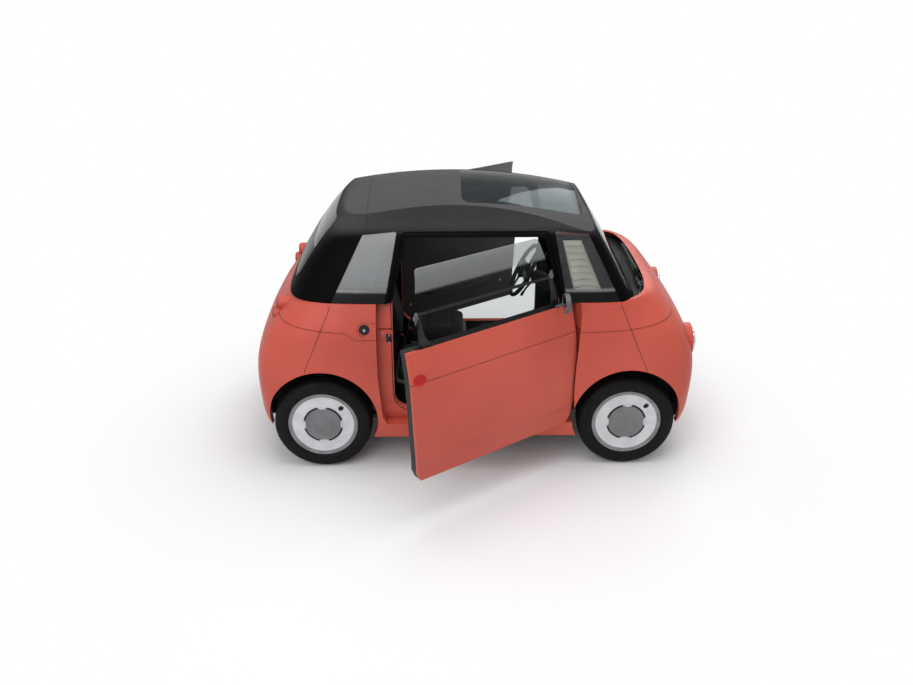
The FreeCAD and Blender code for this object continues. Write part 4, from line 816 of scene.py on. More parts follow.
def doorTrim(word):
    flip = -1 if word == "left" else 1
    body = "door_" + word
    tag = word.title()
    turn = doorTurn(word)
    # pieces modelled on the closed right door go end for end onto the left one
    onDoor = turn @ Matrix.Rotation(math.pi, 4, "Z") if word == "left" else turn
    point, normal = onDoorSkin(word, door["discX"], door["discZ"])
    finished(turned([(0.037, -0.001), (0.0368, 0.0024), (0.0345, 0.0034), (0.03, 0.0028),
        (0.028, 0.0014), (0.012, 0.001), (0.0, 0.0012)], 64), "pullDisc" + tag, redPlastic,
        facing(point, normal) @ Matrix.Diagonal((1, 0.76, 1, 1)), body=body)
    finished(plate([(-0.024, -0.006), (0.024, -0.006), (0.026, 0.0), (0.024, 0.006), (-0.024, 0.006),
        (-0.026, 0.0)], 0.0045, 0.0015), "pullGrip" + tag, redPlastic, facing(point, normal), body=body)

    # sail plates on the glass's lower corners, with the glass brackets on them
    def onPane(x, z, lean):
        # the outer face of the closed glass, read on the open door
        start = turn @ Vector((flip * x, -flip * 1.2, z))
        point, normal = cast("door_%s_glass" % word, start, turn.to_3x3() @ Vector((0, flip, 0)))
        return flip * (turn.inverted() @ point).y if point is not None else -0.6262 + lean

    sails = []
    rearSail = [(-0.45, 1.004), (-0.365, 1.004), (-0.386, 1.03), (-0.405, 1.06), (-0.415, 1.1),
                (-0.418, 1.14), (-0.419, 1.165), (-0.43, 1.165), (-0.44, 1.1)]
    frontSail = [(0.45, 1.004), (0.44, 1.1), (0.429, 1.18), (0.408, 1.18), (0.408, 1.14),
                 (0.406, 1.08), (0.396, 1.04), (0.378, 1.004)]
    for outline in (rearSail, frontSail):
        piece = plate(outline, 0.0022, 0.0006)
        placed(piece, Matrix.Rotation(math.radians(90), 4, "X"))
        for vertex in piece.data.vertices:
            lean = max(0.0, vertex.co.z - door["belt"]) * door["lean"]
            vertex.co.y += onPane(vertex.co.x, max(vertex.co.z, 1.016), lean)
        sails.append(piece)
    finished(joined(sails), "windowSail" + tag, darkTrim, onDoor, body=body)
    parts = []
    for x, z in ((-0.436, 1.15), (0.428, 1.172)):
        spot = (x, onPane(x, z, (z - door["belt"]) * door["lean"]), z)
        knob = turned([(0.015, -0.005), (0.015, 0.004), (0.013, 0.006), (0.006, 0.006), (0.005, 0.004),
                       (0.0, 0.004)], 36)
        parts.append(placed(knob, facing(spot, (0, -1, 0.1))))
        arm = plate([(-0.008, -0.034), (0.008, -0.034), (0.01, 0.0), (0.008, 0.03), (-0.008, 0.03),
                     (-0.01, 0.0)], 0.0045, 0.0015)
        parts.append(placed(arm, facing(spot, (0, -1, 0.12))))
    finished(joined(parts), "glassBracket" + tag, greyTrim, onDoor, body=body)

    # rubber lip at the belt
    finished(tube([(x, -0.6235, 1.0045) for x in [i * 0.09 / 2 - 0.45 for i in range(21)]], 0.004,
        sides=10), "beltLip" + tag, rubber, onDoor, body=body, smooth=60)
    # inner face: a bin with a lip, a strap to pull the door shut and the screws
    pocket = block((0.52, 0.03, 0.17), (-0.02, -0.62, 0.55), 0.014, 4)
    sunk(pocket, (0, 0, 1), 0.006, 0.06)
    finished(pocket, "doorBin" + tag, darkTrim, onDoor, body=body)
    strap = tube(alongPath([(-0.33, -0.628, 0.86), (-0.3, -0.606, 0.862), (-0.22, -0.6, 0.862),
                            (-0.14, -0.606, 0.862), (-0.11, -0.628, 0.86)], 0.01), 0.0012, flat=0.026)
    for vertex in strap.data.vertices:
        vertex.co.y = min(vertex.co.y, -0.596)
    finished(strap, "pullStrap" + tag, webbing, onDoor, body=body, smooth=60)
    screws = []
    for x, z in ((-0.33, 0.86), (-0.11, 0.86), (-0.4, 0.44), (0.4, 0.44), (-0.4, 0.93), (0.4, 0.93)):
        screw = turned([(0.0075, 0.0), (0.0075, 0.003), (0.006, 0.0042), (0.0, 0.0042)], 18)
        screws.append(placed(screw, facing((x, -0.6325, z), (0, 1, 0))))
    finished(joined(screws), "doorScrews" + tag, steel, onDoor, body=body)


for word in ("right", "left"):
    doorTrim(word)


def mirrorTrim(word, lookIn, centre):
    # pale rim and glass on the round mirror's rear face
    flip = -1 if word == "right" else 1
    look = Vector((-math.cos(lookIn), -flip * math.sin(lookIn), 0))
    turn = doorTurn(word)
    face = Vector(centre) + look * 0.0132
    finished(turned([(0.0532, -0.012), (0.0538, 0.0), (0.052, 0.0022), (0.0495, 0.002), (0.0485, 0.0004),
        (0.0485, -0.006), (0.0525, -0.012)], 72, closed=True), "mirrorRim" + word.title(), greyTrim,
        turn @ facing(face, look), body="door_" + word, smooth=50)
    finished(turned([(0.049, -0.003), (0.049, 0.0006), (0.047, 0.0012), (0.025, 0.0017), (0.0, 0.0019)],
        72), "mirrorFace" + word.title(), mirrorFace, turn @ facing(face, look), body="door_" + word,
        smooth=30)


mirrorTrim("right", math.radians(30), (0.432, -0.702, 1.056))
mirrorTrim("left", math.radians(18), (0.432, 0.702, 1.056))
print("doors done")


# ribbed pad behind the near front quarter window

pad = {"ribs": 8, "footZ": 1.03, "headZ": 1.318, "footX": (0.535, 0.7), "headX": (0.466, 0.572),
       "footY": -0.588}


def ribbedPad():
    count = pad["ribs"]
    across = 14
    down = count * 8
    bpy.ops.mesh.primitive_grid_add(x_subdivisions=across, y_subdivisions=down, size=1)
    piece = added()
    for vertex in piece.data.vertices:
        u, v = vertex.co.x + 0.5, vertex.co.y + 0.5
        low = pad["footX"][0] + (pad["headX"][0] - pad["footX"][0]) * v
        high = pad["footX"][1] + (pad["headX"][1] - pad["footX"][1]) * v
        z = pad["footZ"] + (pad["headZ"] - pad["footZ"]) * v
        edge = (1 - abs(2 * u - 1) ** 4) ** 0.5 if abs(2 * u - 1) < 1 else 0.0
        puff = abs(math.sin(math.pi * v * count)) ** 0.45
        arch = (1 - (2 * u - 1) ** 2) * 0.024
        ahead = low + (high - low) * u
        pane, way = cast("quarter_windows", (ahead, -1.0, z + 0.5 * arch), (0, 1, 0))
        pane = pane.y if pane is not None else pad["footY"] + (z - 1.008) * 0.3
        vertex.co = (ahead, pane + 0.012 + 0.024 * (1 - puff * edge), z + arch * (1 - v))
    modified(piece, "SOLIDIFY", thickness=0.012, offset=-1)
    modified(piece, "SUBSURF", levels=1, render_levels=1)
    finished(piece, "ribbedPad", ivory, smooth=70)
    return piece


padPiece = ribbedPad()
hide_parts("pillar_pad")
print("ribbed pad done")


# lamps, plate and its light

lampRings = (
    ("headBezel", 0.447, 0.7, 64, [(0.06, -0.03), (0.066, -0.012), (0.0665, -0.004), (0.064, -0.0005),
                                     (0.0605, -0.003), (0.059, -0.01), (0.056, -0.03)]),
    ("lowBezel", 0.447, 0.492, 64, [(0.038, -0.02), (0.0435, -0.01), (0.0435, -0.005), (0.0415, -0.002),
                                    (0.0385, -0.004), (0.037, -0.02)]),
    ("dotBezel", 0.5, 0.34, 40, [(0.0205, -0.012), (0.024, -0.006), (0.024, -0.003), (0.0225, -0.0008),
                                    (0.0205, -0.003), (0.02, -0.012)]),
)
tailLamp = {"y": 0.44, "heights": (0.95, 0.888), "steps": 56, "profile": [
    (0.03, -0.004), (0.03, -0.001), (0.028, 0.0), (0.014, 0.0), (0.012, -0.0008), (0.0, -0.0006)]}
lampNodes = {1: ("front_cap", "lamp_lids", "head_lamps", "small_lamps"), -1: ("rear_cap", "tail_lamps")}


def onEnd(y, z, profile, steps, end):
    # a turned piece whose base stands on the outermost skin at one end of the car
    hits = [cast(node, (end * 2.0, y, z), (-end, 0, 0))[0] for node in lampNodes[end]]
    outermost = max([point for point in hits if point is not None], key=lambda point: end * point.x)
    return placed(turned(profile, steps), facing(outermost, (end, 0, 0)))


for side, tag in bothSides:
    for name, y, z, steps, profile in lampRings:
        finished(onEnd(side * y, z, profile, steps, 1), name + tag, chrome, smooth=50)
    for z in tailLamp["heights"]:
        lens = onEnd(side * tailLamp["y"], z, tailLamp["profile"], tailLamp["steps"], -1)
        finished(lens, "tailLens%s%d" % (tag, z * 1000), redLens)

plateSet = {"face": -1.267, "deep": 0.03, "z": 0.412, "wide": 0.335, "tall": 0.15, "frame": 0.012}
border = 2 * plateSet["frame"]
holder = block((plateSet["wide"] + border, plateSet["tall"] + border, plateSet["deep"]),
               (0, 0, -plateSet["deep"] / 2), 0.003, 3, ((0, 0, 1), plateSet["frame"] - 0.002, 0.0045))
placed(holder, facing((plateSet["face"], 0, plateSet["z"]), (-1, 0, 0)))
hood = block((0.345, 0.03, 0.024), (0, 0.001, -0.014), 0.008, 4)
placed(hood, facing((plateSet["face"], 0, 0.527), (-1, 0, 0)))
holder = joined([holder, hood])
finished(holder, "plateFrame", darkTrim)
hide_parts("plate_holder")
finished(block((plateSet["wide"], plateSet["tall"], 0.0018), (0, 0, 0.0009), 0.0005, 2,
    ((0, 0, 1), 0.006, 0.0002)), "plateBlank", blankPlate,
    facing((plateSet["face"] + 0.0043, 0, plateSet["z"]), (-1, 0, 0)), smooth=30)
finished(turned([(0.0155, -0.155), (0.0158, -0.15), (0.0158, 0.15), (0.0155, 0.155), (0.0, 0.157)], 40),
    "plateLightBar", chrome, facing((-1.2512, 0, 0.5275), (0, 1, 0)), smooth=30)
print("lamps done")


# cowl: the wiper's linkage and motor under the windscreen

rods = [
    tube([(0.955, -0.42, 0.998), (0.975, -0.25, 1.0), (0.965, -0.05, 0.998)], 0.006, sides=10),
    tube([(0.93, -0.3, 1.001), (0.96, -0.1, 1.003), (0.985, 0.06, 1.0)], 0.0045, sides=10),
    tube(alongPath([(0.905, -0.5, 1.0), (0.935, -0.4, 1.004), (0.95, -0.2, 1.006), (0.955, 0.1, 1.004)],
                   0.03), 0.0035, sides=10),
]
finished(joined(rods), "wiperLinkage", castIron, smooth=60)
motor = turned([(0.03, 0.0), (0.03, 0.018), (0.026, 0.024), (0.012, 0.024), (0.01, 0.032), (0.0, 0.032)],
               40)
pivot = turned([(0.014, 0.0), (0.014, 0.014), (0.008, 0.018), (0.0, 0.018)], 32)
placed(motor, Matrix.Translation((0.955, -0.34, 0.985)))
placed(pivot, Matrix.Translation((0.975, -0.12, 0.992)))
finished(joined([motor, pivot]), "wiperMotor", castIron)
print("cowl done")


# seats: each pad is blown up and sewn once, and both seats get copies

seat = {
    "across": 0.262, "stagger": -0.05, "front": -0.02, "lean": math.radians(14), "foot": 0.458,
    "cushionRear": -0.42, "backThick": 0.085, "voxel": 0.006, "pressure": 4.0,
}


def stuffed(piece, cap):
    # fabric blown up over foam: remeshed, inflated without gravity, its travel capped
    only(piece)
    piece.data.remesh_voxel_size = seat["voxel"]
    bpy.ops.object.voxel_remesh()
    rest = [vertex.co.copy() for vertex in piece.data.vertices]
    cloth = piece.modifiers.new("Cloth", "CLOTH")
    cloth.settings.use_pressure = True
    cloth.settings.uniform_pressure_force = seat["pressure"]
    cloth.settings.effector_weights.gravity = 0
    cloth.settings.quality = 4
    cloth.point_cache.frame_end = 20
    for frameNumber in range(1, 21):
        bpy.context.scene.frame_set(frameNumber)
    bpy.ops.object.modifier_apply(modifier=cloth.name)
    bpy.context.scene.frame_set(1)
    for vertex, start in zip(piece.data.vertices, rest):
        travel = vertex.co - start
        if travel.length > cap:
            vertex.co = start + travel * (cap / travel.length)
    modified(piece, "SUBSURF", levels=1, render_levels=1)
    return piece


def sewn(piece, seams, depth=0.0065, width=0.0075):
    # each seam is a function of (x, y) giving the distance to its line, or None past its end
    piece.data.update()
    for vertex in piece.data.vertices:
        if vertex.normal.z < 0.15:
            continue
        sink = 0.0
        for seam in seams:
            away = seam(vertex.co.x, vertex.co.y)
            if away is not None:
                sink = max(sink, math.exp(-((away / width) ** 2)))
        vertex.co -= vertex.normal * depth * sink
    return piece


def within(piece, low, high):
    # a soft piece stays in the room that its frame gives it
    for vertex in piece.data.vertices:
        for axis in range(3):
            vertex.co[axis] = min(max(vertex.co[axis], low[axis]), high[axis])
    return piece


def stitchRow(piece, points, pitch=0.0085):
    # short thread stitches laid on a pad along a line of points above it
    run = alongPath(points, pitch)
    moves = []
    for first, last in zip(run, run[1:]):
        middle = (Vector(first) + Vector(last)) / 2
        hit, point, normal, index = piece.ray_cast(middle + Vector((0, 0, 0.2)), Vector((0, 0, -1)))
        if hit:
            moves.append(facing(point + normal * 0.0003, normal, Vector(last) - Vector(first)))
    thread = block((0.0011, 0.0052, 0.001), (0, 0, 0), 0.0003, 1)
    return copied(thread, moves)


def seatPad(outline, made):
    # a stuffed, dished and sewn pad, and the threads of its seams
    piece = plate(outline, made["thick"], made["round"], 3, 2)
    placed(piece, Matrix.Translation((0, 0, made["lift"])))
    stuffed(piece, made["cap"])
    (midX, midY), (reachX, reachY) = made["middle"], made["reach"]
    for vertex in piece.data.vertices:
        # bolsters rise beside a shallow dish
        x, y, z = vertex.co
        dish = max(0.0, 1 - ((x - midX) / reachX) ** 2) * max(0.0, 1 - ((y - midY) / reachY) ** 2)
        vertex.co.z -= max(0.0, z - 0.03) * made["dish"] * dish
    sewn(piece, made["seams"])
    within(piece, *made["room"])
    return piece, joined([stitchRow(piece, run) for run in made["runs"]])


half = [(-0.182, -0.15), (-0.17, -0.176), (-0.135, -0.188), (0.11, -0.19), (0.16, -0.186),
        (0.184, -0.16), (0.186, -0.06)]
cushionOutline = half + [(x, -y) for x, y in reversed(half)]
cushionPad, cushionThread = seatPad(cushionOutline, {
    "thick": 0.062, "round": 0.02, "lift": 0.016, "cap": 0.016,
    "middle": (-0.02, 0.0), "reach": (0.17, 0.135), "dish": 0.014 / 0.06,
    "seams": [
        lambda x, y: abs(abs(y) - 0.128 - 0.012 * (x / 0.18) ** 2) if x < 0.15 else None,
        lambda x, y: abs(x - 0.095) if abs(y) < 0.132 else None,
        lambda x, y: abs(x + 0.06) if abs(y) < 0.13 else None],
    "room": ((-0.198, -0.203, 0.0), (0.198, 0.203, 0.0945)),
    "runs": [[(-0.165, side * 0.136, 0), (-0.02, side * 0.1235, 0), (0.145, side * 0.132, 0)]
             for side in (-1, 1)] + [[(x, -0.118, 0), (x, 0.118, 0)] for x in (0.103, -0.052)]})

half = [(0.15, 0.004), (0.172, 0.012), (0.188, 0.06), (0.192, 0.15), (0.19, 0.27), (0.178, 0.35),
        (0.152, 0.402), (0.132, 0.432), (0.128, 0.48), (0.118, 0.522), (0.092, 0.544), (0.04, 0.551)]
farHalf = [(-x, y) for x, y in reversed(half)]
backOutline = farHalf[-2:] + half + farHalf[:-2]
backPad, backThread = seatPad(backOutline, {
    "thick": 0.048, "round": 0.016, "lift": 0.024, "cap": 0.014,
    "middle": (0.0, 0.2), "reach": (0.135, 0.2), "dish": 0.012 / 0.05,
    "seams": [
        lambda x, y: abs(abs(x) - 0.125 + 0.02 * (y / 0.4) ** 2) if 0.02 < y < 0.395 else None,
        lambda x, y: abs(y - 0.405 - 0.2 * x * x) if abs(x) < 0.16 else None,
        lambda x, y: abs(y - 0.15) if abs(x) < 0.122 else None,
        lambda x, y: abs(y - 0.285) if abs(x) < 0.114 else None],
    "room": ((-0.203, 0.002, 0.018), (0.203, 0.5585, 0.0845)),
    "runs": [[(side * 0.117, 0.03, 0), (side * 0.112, 0.2, 0), (side * 0.098, 0.385, 0)]
             for side in (-1, 1)] + [[(-0.1, y, 0), (0.1, y, 0)] for y in (0.158, 0.293, 0.415)]})
backShell = sunk(plate([(x * 1.03, y) for x, y in backOutline], 0.016, 0.005, 3), (0, 0, -1), 0.022, 0.006)
placed(backShell, Matrix.Translation((0, 0, 0.003)))
seatPan = plate([(x * 1.04, y * 1.03) for x, y in cushionOutline], 0.014, 0.004, 2)

leanSin, leanCos = math.sin(seat["lean"]), math.cos(seat["lean"])
backTurn = Matrix(((0, -leanSin, leanCos), (1, 0, 0), (0, leanCos, leanSin))).to_4x4()
for word, sign, setback in (("Right", -1, seat["stagger"]), ("Left", 1, 0.0)):
    across = sign * seat["across"]
    cushionAt = Matrix.Translation((seat["front"] - 0.2 + setback, across, 0.43))
    foot = Vector((seat["cushionRear"] - 0.00275 + setback, across, seat["foot"]))
    foot -= Vector((leanCos, 0, leanSin)) * seat["backThick"]
    backAt = Matrix.Translation(foot) @ backTurn
    for source, name, move, material in (
            (cushionPad, "cushion", cushionAt, seatCloth), (backPad, "backrest", backAt, seatCloth),
            (cushionThread, "cushionThread", cushionAt, webbing),
            (backThread, "backThread", backAt, webbing),
            (backShell, "seatShell", backAt, greyTrim), (seatPan, "seatPan", cushionAt, greyTrim)):
        item = finished(twin(source, move), name + word, material, smooth=60)
        if material is seatCloth:
            if word == "Right":
                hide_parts("seat_cushions" if name == "cushion" else "seat_backrests")
for source in (cushionPad, backPad, cushionThread, backThread, backShell, seatPan):
    bpy.data.objects.remove(source, do_unlink=True)
print("seats done")


# belts: reel side runs on the pillars, buckles beside the seats

belt = {"wide": 0.047, "thick": 0.0007}


def seatBelt(sign, tag, setback):
    x = -0.5 if sign < 0 else -0.52
    run = [(x, sign * 0.536, 1.06), (x + 0.004, sign * 0.538, 0.98), (x + 0.006, sign * 0.54, 0.8),
           (x + 0.004, sign * 0.54, 0.6), (x, sign * 0.538, 0.46)]
    finished(tube(alongPath(run, 0.03), belt["thick"], flat=belt["wide"]), "beltStrap" + tag, webbing,
        smooth=60)
    finished(tube([(x - 0.026, sign * 0.536, 1.055), (x + 0.026, sign * 0.536, 1.055),
        (x + 0.026, sign * 0.536, 1.072), (x + 0.01, sign * 0.536, 1.086), (x - 0.01, sign * 0.536, 1.086),
        (x - 0.026, sign * 0.536, 1.072)], 0.0028, closed=True, sides=12), "beltRing" + tag, steel,
        smooth=60)
    finished(plate([(-0.026, -0.02), (0.026, -0.02), (0.026, 0.004), (0.012, 0.012), (0.01, 0.04),
        (-0.01, 0.04), (-0.012, 0.012), (-0.026, 0.004)], 0.0028, 0.0008), "beltTongue" + tag, steel,
        facing((x + 0.006, sign * 0.536, 0.79), (0, -sign, 0), (0, 0, -1)))
    finished(block((0.085, 0.046, 0.13), (x, sign * 0.528, 0.425), 0.012, 3), "beltReel" + tag, darkTrim)
    stalkFoot = (-0.405 + setback, sign * 0.048, 0.4)
    stalkHead = (-0.39 + setback, sign * 0.048, 0.498)
    stalk = tube([stalkFoot, stalkHead], 0.0045, flat=0.018)
    buckle = block((0.024, 0.017, 0.062), (0, 0, 0.028), 0.005, 3)
    sunk(buckle, (0, 0, 1), 0.0012, 0.001)
    way = Vector(stalkHead) - Vector(stalkFoot)
    placed(buckle, facing(stalkHead, way, (0, 1, 0)))
    finished(joined([stalk, buckle]), "beltBuckle" + tag, softBlack, smooth=50)
    finished(block((0.018, 0.012, 0.007), (0, 0, 0.06), 0.0022, 3), "beltButton" + tag, redPlastic,
        facing(stalkHead, way, (0, 1, 0)), smooth=50)


seatBelt(-1, "Right", seat["stagger"])
seatBelt(1, "Left", 0.0)
print("belts done")


# steering wheel, stalks and dashboard

helm = {"centre": (0.34, 0.262, 0.86), "axis": (-0.8829, 0.0, 0.4695), "grip": 0.172}
helmAt = facing(helm["centre"], helm["axis"])
finished(turned([(0.05, -0.004), (0.054, 0.004), (0.0545, 0.012), (0.052, 0.018), (0.048, 0.02),
    (0.0465, 0.0188), (0.0455, 0.0202), (0.03, 0.0226), (0.0285, 0.0216), (0.0275, 0.0228), (0.0, 0.0236)],
    72), "wheelPad", softBlack, helmAt, body="steering_wheel")
spokes = []
for angle in (0, 180, 270):
    spoke = plate([(0.046, -0.017), (0.105, -0.012), (0.16, -0.015), (0.16, 0.015), (0.105, 0.012),
                   (0.046, 0.017)], 0.009, 0.003, 3, 1)
    lifted = helmAt @ Matrix.Rotation(math.radians(angle), 4, "Z") @ Matrix.Translation((0, 0, 0.0045))
    spokes.append(placed(spoke, lifted))
finished(joined(spokes), "wheelSpokes", greyTrim, body="steering_wheel")
seam = [(helm["grip"] * math.cos(a), helm["grip"] * math.sin(a), 0.0132)
        for a in [2 * math.pi * i / 120 for i in range(120)]]
finished(tube(seam, 0.0009, closed=True, sides=6), "wheelSeam", webbing, helmAt, body="steering_wheel",
    smooth=60)
stalks = []
for sign in (-1, 1):
    arm = tube([(0, sign * 0.02, -0.085), (0, sign * 0.06, -0.08), (0, sign * 0.105, -0.072),
                (0, sign * 0.135, -0.07)], 0.0062, sides=12)
    tip = turned([(0.0062, -0.012), (0.0085, -0.008), (0.0088, 0.018), (0.006, 0.022), (0.0, 0.022)], 24)
    placed(tip, facing((0, sign * 0.14, -0.07), (0, sign, 0.02)))
    stalks += [arm, tip]
finished(joined(stalks), "columnStalks", softBlack, helmAt, smooth=50)
finished(block((0.07, 0.085, 0.14), (0, 0, -0.135), 0.018, 4), "columnShroud", darkTrim, helmAt, smooth=50)


def dashAt(y, z):
    point, normal = cast("dashboard", (0.0, y, z), (1, 0, 0))
    return facing(point, normal)


parts = []
for y in (-0.44, -0.2, 0.46):
    spot = dashAt(y, 0.9)
    bezel = plate(oblong(0.055, 0.024), 0.006, 0.003, 3)
    parts.append(placed(bezel, spot))
    for k in range(4):
        slat = block((0.1, 0.0045, 0.01), (0, -0.0165 + 0.011 * k, 0.005), 0.0015, 2)
        parts.append(placed(slat, spot))
finished(joined(parts), "dashVents", softBlack)
spot = dashAt(0.262, 0.905)
finished(block((0.175, 0.082, 0.02), (0, 0, 0.008), 0.01, 4, ((0, 0, 1), 0.012, 0.004)), "dashDisplay",
    softBlack, spot)
finished(block((0.148, 0.056, 0.003), (0, 0, 0.0158), 0.001, 2), "displayGlass", mirrorFace, spot)
parts = []
for k in range(5):
    spot = dashAt(-0.06 + 0.034 * k, 0.8)
    key = block((0.026, 0.02, 0.008), (0, 0, 0.003), 0.003, 3, ((0, 0, 1), 0.004, 0.001))
    parts.append(placed(key, spot))
finished(joined(parts), "dashSwitches", greyTrim)
spot = dashAt(-0.28, 0.76)
finished(block((0.36, 0.095, 0.012), (0, 0, 0.004), 0.006, 3, ((0, 0, 1), 0.008, 0.008)), "dashTray",
    darkTrim, spot)
spot = dashAt(0.02, 0.88)
cradle = block((0.07, 0.014, 0.03), (0, -0.034, 0.012), 0.005, 3)
cradleBack = block((0.078, 0.078, 0.006), (0, 0, 0.003), 0.004, 3)
finished(joined([cradle, cradleBack]), "phoneCradle", softBlack, spot)

pads = []
for y in (0.322, 0.142):
    pads.append(block((0.005, 0.052, 0.072), (0.6375, y, 0.382), 0.002, 2, ((-1, 0, 0), 0.005, 0.001)))
    for k in range(4):
        pads.append(block((0.004, 0.04, 0.006), (0.635, y, 0.358 + 0.016 * k), 0.0015, 2))
finished(joined(pads), "pedalPads", rubber)
finished(turned([(0.015, 0.0), (0.0185, 0.01), (0.019, 0.055), (0.0175, 0.11), (0.019, 0.145),
    (0.0165, 0.158), (0.009, 0.16), (0.0085, 0.166), (0.0, 0.167)], 40), "brakeGrip", softBlack,
    facing((0.0765, 0, 0.448), (0.0, 0, 1)))
finished(turned([(0.052, 0.0), (0.046, 0.006), (0.048, 0.012), (0.039, 0.02), (0.041, 0.028), (0.031, 0.036),
    (0.033, 0.044), (0.024, 0.052), (0.022, 0.058), (0.0, 0.058)], 48), "brakeGaiter", rubber,
    facing((0.0765, 0, 0.418), (0.0, 0, 1)), smooth=50)
mats = []
matOutline = [(0.13, -0.155), (0.5, -0.155), (0.52, -0.12), (0.52, 0.12), (0.5, 0.15), (0.13, 0.15)]
for sign in (-1, 1):
    mat = plate([(x, sign * 0.3 + y) for x, y in matOutline], 0.006, 0.002)
    sunk(mat, (0, 0, 1), 0.014, 0.003)
    placed(mat, Matrix.Translation((0, 0, 0.2625)))
    mats.append(mat)
    for k in range(9):
        mats.append(block((0.012, 0.24, 0.005), (0.155 + 0.04 * k, sign * 0.3, 0.2672), 0.0015, 2))
finished(joined(mats), "floorMats", rubber)
print("dashboard and controls done")


# below: coil springs, shaft boots, battery fins and bolts

under = {"springRadius": 0.044, "wire": 0.0055, "turns": 6.5}


def coil(foot, head, name):
    way = Vector(head) - Vector(foot)
    run = []
    steps = int(under["turns"] * 20)
    for i in range(steps + 1):
        a = 2 * math.pi * under["turns"] * i / steps
        z = way.length * i / steps
        run.append((under["springRadius"] * math.cos(a), under["springRadius"] * math.sin(a), z))
    spring = tube(run, under["wire"], sides=8)
    placed(spring, facing(foot, way))
    dishes = []
    for height, flip in ((0.0, 1), (way.length, -1)):
        dish = turned([(0.022, 0.0), (0.052, 0.0), (0.054, flip * 0.006), (0.05, flip * -0.003),
                       (0.022, flip * -0.003)], 40, closed=True)
        placed(dish, facing(foot, way) @ Matrix.Translation((0, 0, height)))
        dishes.append(dish)
    finished(joined([spring] + dishes), name, framePaint, smooth=50)


for sign, tag in bothSides:
    coil((0.865, sign * 0.488, 0.455), (0.865, sign * 0.47, 0.61), "frontSpring" + tag)
    coil((-0.865, sign * 0.43, 0.4), (-0.865, sign * 0.43, 0.6), "rearSpring" + tag)
    profile = [(0.034, 0.0)]
    for k in range(5):
        profile += [(0.035 - 0.003 * k, 0.006 + 0.012 * k), (0.029 - 0.002 * k, 0.012 + 0.012 * k)]
    finished(turned(profile + [(0.015, 0.066), (0.0, 0.066)], 40), "shaftBoots" + tag, rubber,
        facing((0.865, sign * 0.14, 0.278), (0, sign, 0)), smooth=50)
fins = [block((0.58, 0.007, 0.01), (-0.06, -0.21 + 0.035 * k, 0.1705), 0.002, 2) for k in range(13)]
finished(joined(fins), "batteryFins", castAlloy)
boltSets = (
    (0.0095, 0.008, 0.1702, [(x, y) for x in (-0.33, -0.06, 0.21) for y in (-0.235, 0.235)]),
    (0.0085, 0.0075, 0.2054, [(0.8, 0.08), (0.8, -0.08), (0.99, 0.08), (0.99, -0.08), (0.8, 0.22),
                              (0.99, 0.22)]),
)
heads = []
for radius, tall, z, spots in boltSets:
    profile = [(radius, 0.0), (radius, tall - 0.0015), (radius - 0.0015, tall), (0.0, tall)]
    heads += [placed(turned(profile, 6), facing((x, y, z), (0, 0, -1))) for x, y in spots]
finished(joined(heads), "underBolts", steel)
print("underside done")


# camera, lamps, floor

view = {"at": (-0.181, -5.01, 2.887), "down": 25.681, "aside": 0.987, "focal": 34.94}
bpy.ops.object.camera_add(location=view["at"], rotation=(math.radians(90 - view["down"]), 0,
                                                         -math.radians(view["aside"])))
camera = bpy.context.object
camera.name = "photoCamera"
camera.data.sensor_width = 36
camera.data.lens = view["focal"]
camera.data.clip_end = 80
bpy.context.scene.camera = camera

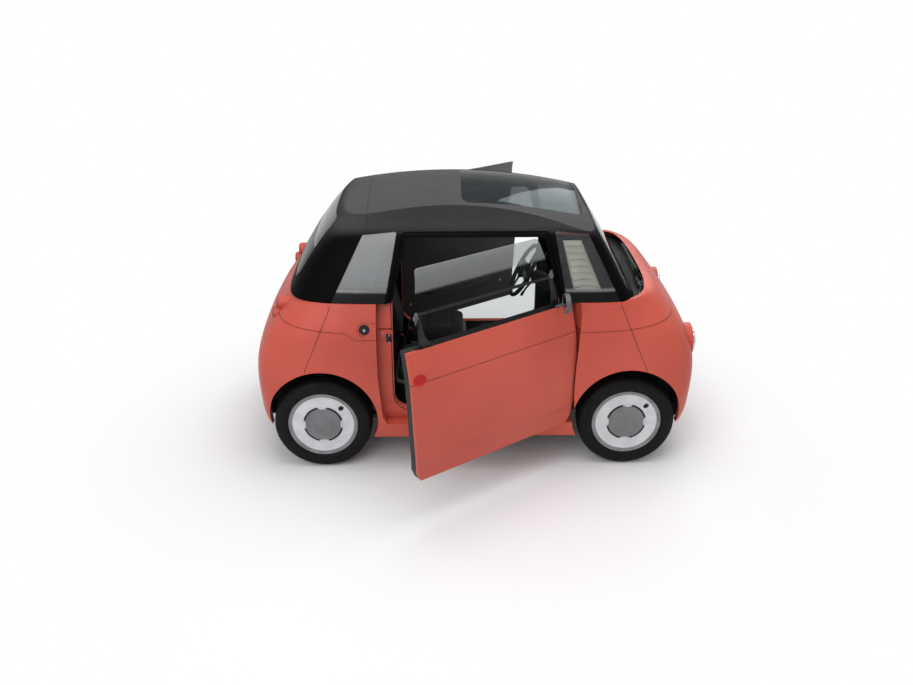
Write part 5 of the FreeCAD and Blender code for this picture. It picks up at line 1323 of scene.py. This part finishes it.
world = bpy.data.worlds.new("studio")
bpy.context.scene.world = world
world.use_nodes = True
tree = world.node_tree
background = tree.nodes["Background"]
background.inputs["Color"].default_value = (0.93, 0.93, 0.94, 1)
background.inputs["Strength"].default_value = 0.62
white = tree.nodes.new("ShaderNodeBackground")
white.inputs["Color"].default_value = (1, 1, 1, 1)
white.inputs["Strength"].default_value = 1.0
paths = tree.nodes.new("ShaderNodeLightPath")
direct = tree.nodes.new("ShaderNodeMath")
direct.operation = "MAXIMUM"
tree.links.new(paths.outputs["Is Camera Ray"], direct.inputs[0])
tree.links.new(paths.outputs["Is Transmission Ray"], direct.inputs[1])
choice = tree.nodes.new("ShaderNodeMixShader")
tree.links.new(direct.outputs[0], choice.inputs[0])
tree.links.new(background.outputs[0], choice.inputs[1])
tree.links.new(white.outputs[0], choice.inputs[2])
tree.links.new(choice.outputs[0], tree.nodes["World Output"].inputs[0])

lamps = [
    {"name": "topSoftbox", "at": (0.2, -0.6, 5.2), "size": 4.6, "power": 150},
    {"name": "nearSoftbox", "at": (-2.2, -4.6, 3.6), "size": 3.0, "power": 80},
    {"name": "farSoftbox", "at": (2.6, 4.0, 3.8), "size": 3.0, "power": 70},
]
for item in lamps:
    bpy.ops.object.light_add(type="AREA", location=item["at"])
    lamp = bpy.context.object
    lamp.name = item["name"]
    lamp.data.size = item["size"]
    lamp.data.energy = item["power"]
    lamp.rotation_euler = (Vector((0, 0, 0.6)) - Vector(item["at"])).to_track_quat("-Z", "Y").to_euler()

floorSize = 60
bpy.ops.mesh.primitive_plane_add(size=floorSize, location=(0, 0, -0.0005))
floor = added()
edit(floor, "FACE")
bpy.ops.mesh.select_all(action="SELECT")
bpy.ops.mesh.subdivide(number_cuts=3)
bpy.ops.object.mode_set(mode="OBJECT")
floor.name = "studioFloor"
floorFinish = Finish("studioFloor", base_color=(0.86, 0.86, 0.865), roughness=0.9)
floorFinish.rough(floorFinish.noise(3.0, 2.0).ramp(0.3, 0.7, 0.85, 0.95))
east, north, height = floorFinish.split(floorFinish.place((0, 0.35, 0)))
apart = (east * east * 0.72 + north * north) ** 0.5
seen = floorFinish.node("ShaderNodeLightPath", None, out="Is Camera Ray")
glow = floorFinish.node("ShaderNodeEmission", None, Color=(1.0, 1.0, 1.0), Strength=1.0)
floorFinish.blend(seen * apart.ramp(1.1, 2.3), floorFinish.own(), glow)
floor.data.materials.append(floorFinish.material)

bpy.context.scene.view_settings.view_transform = "Standard"
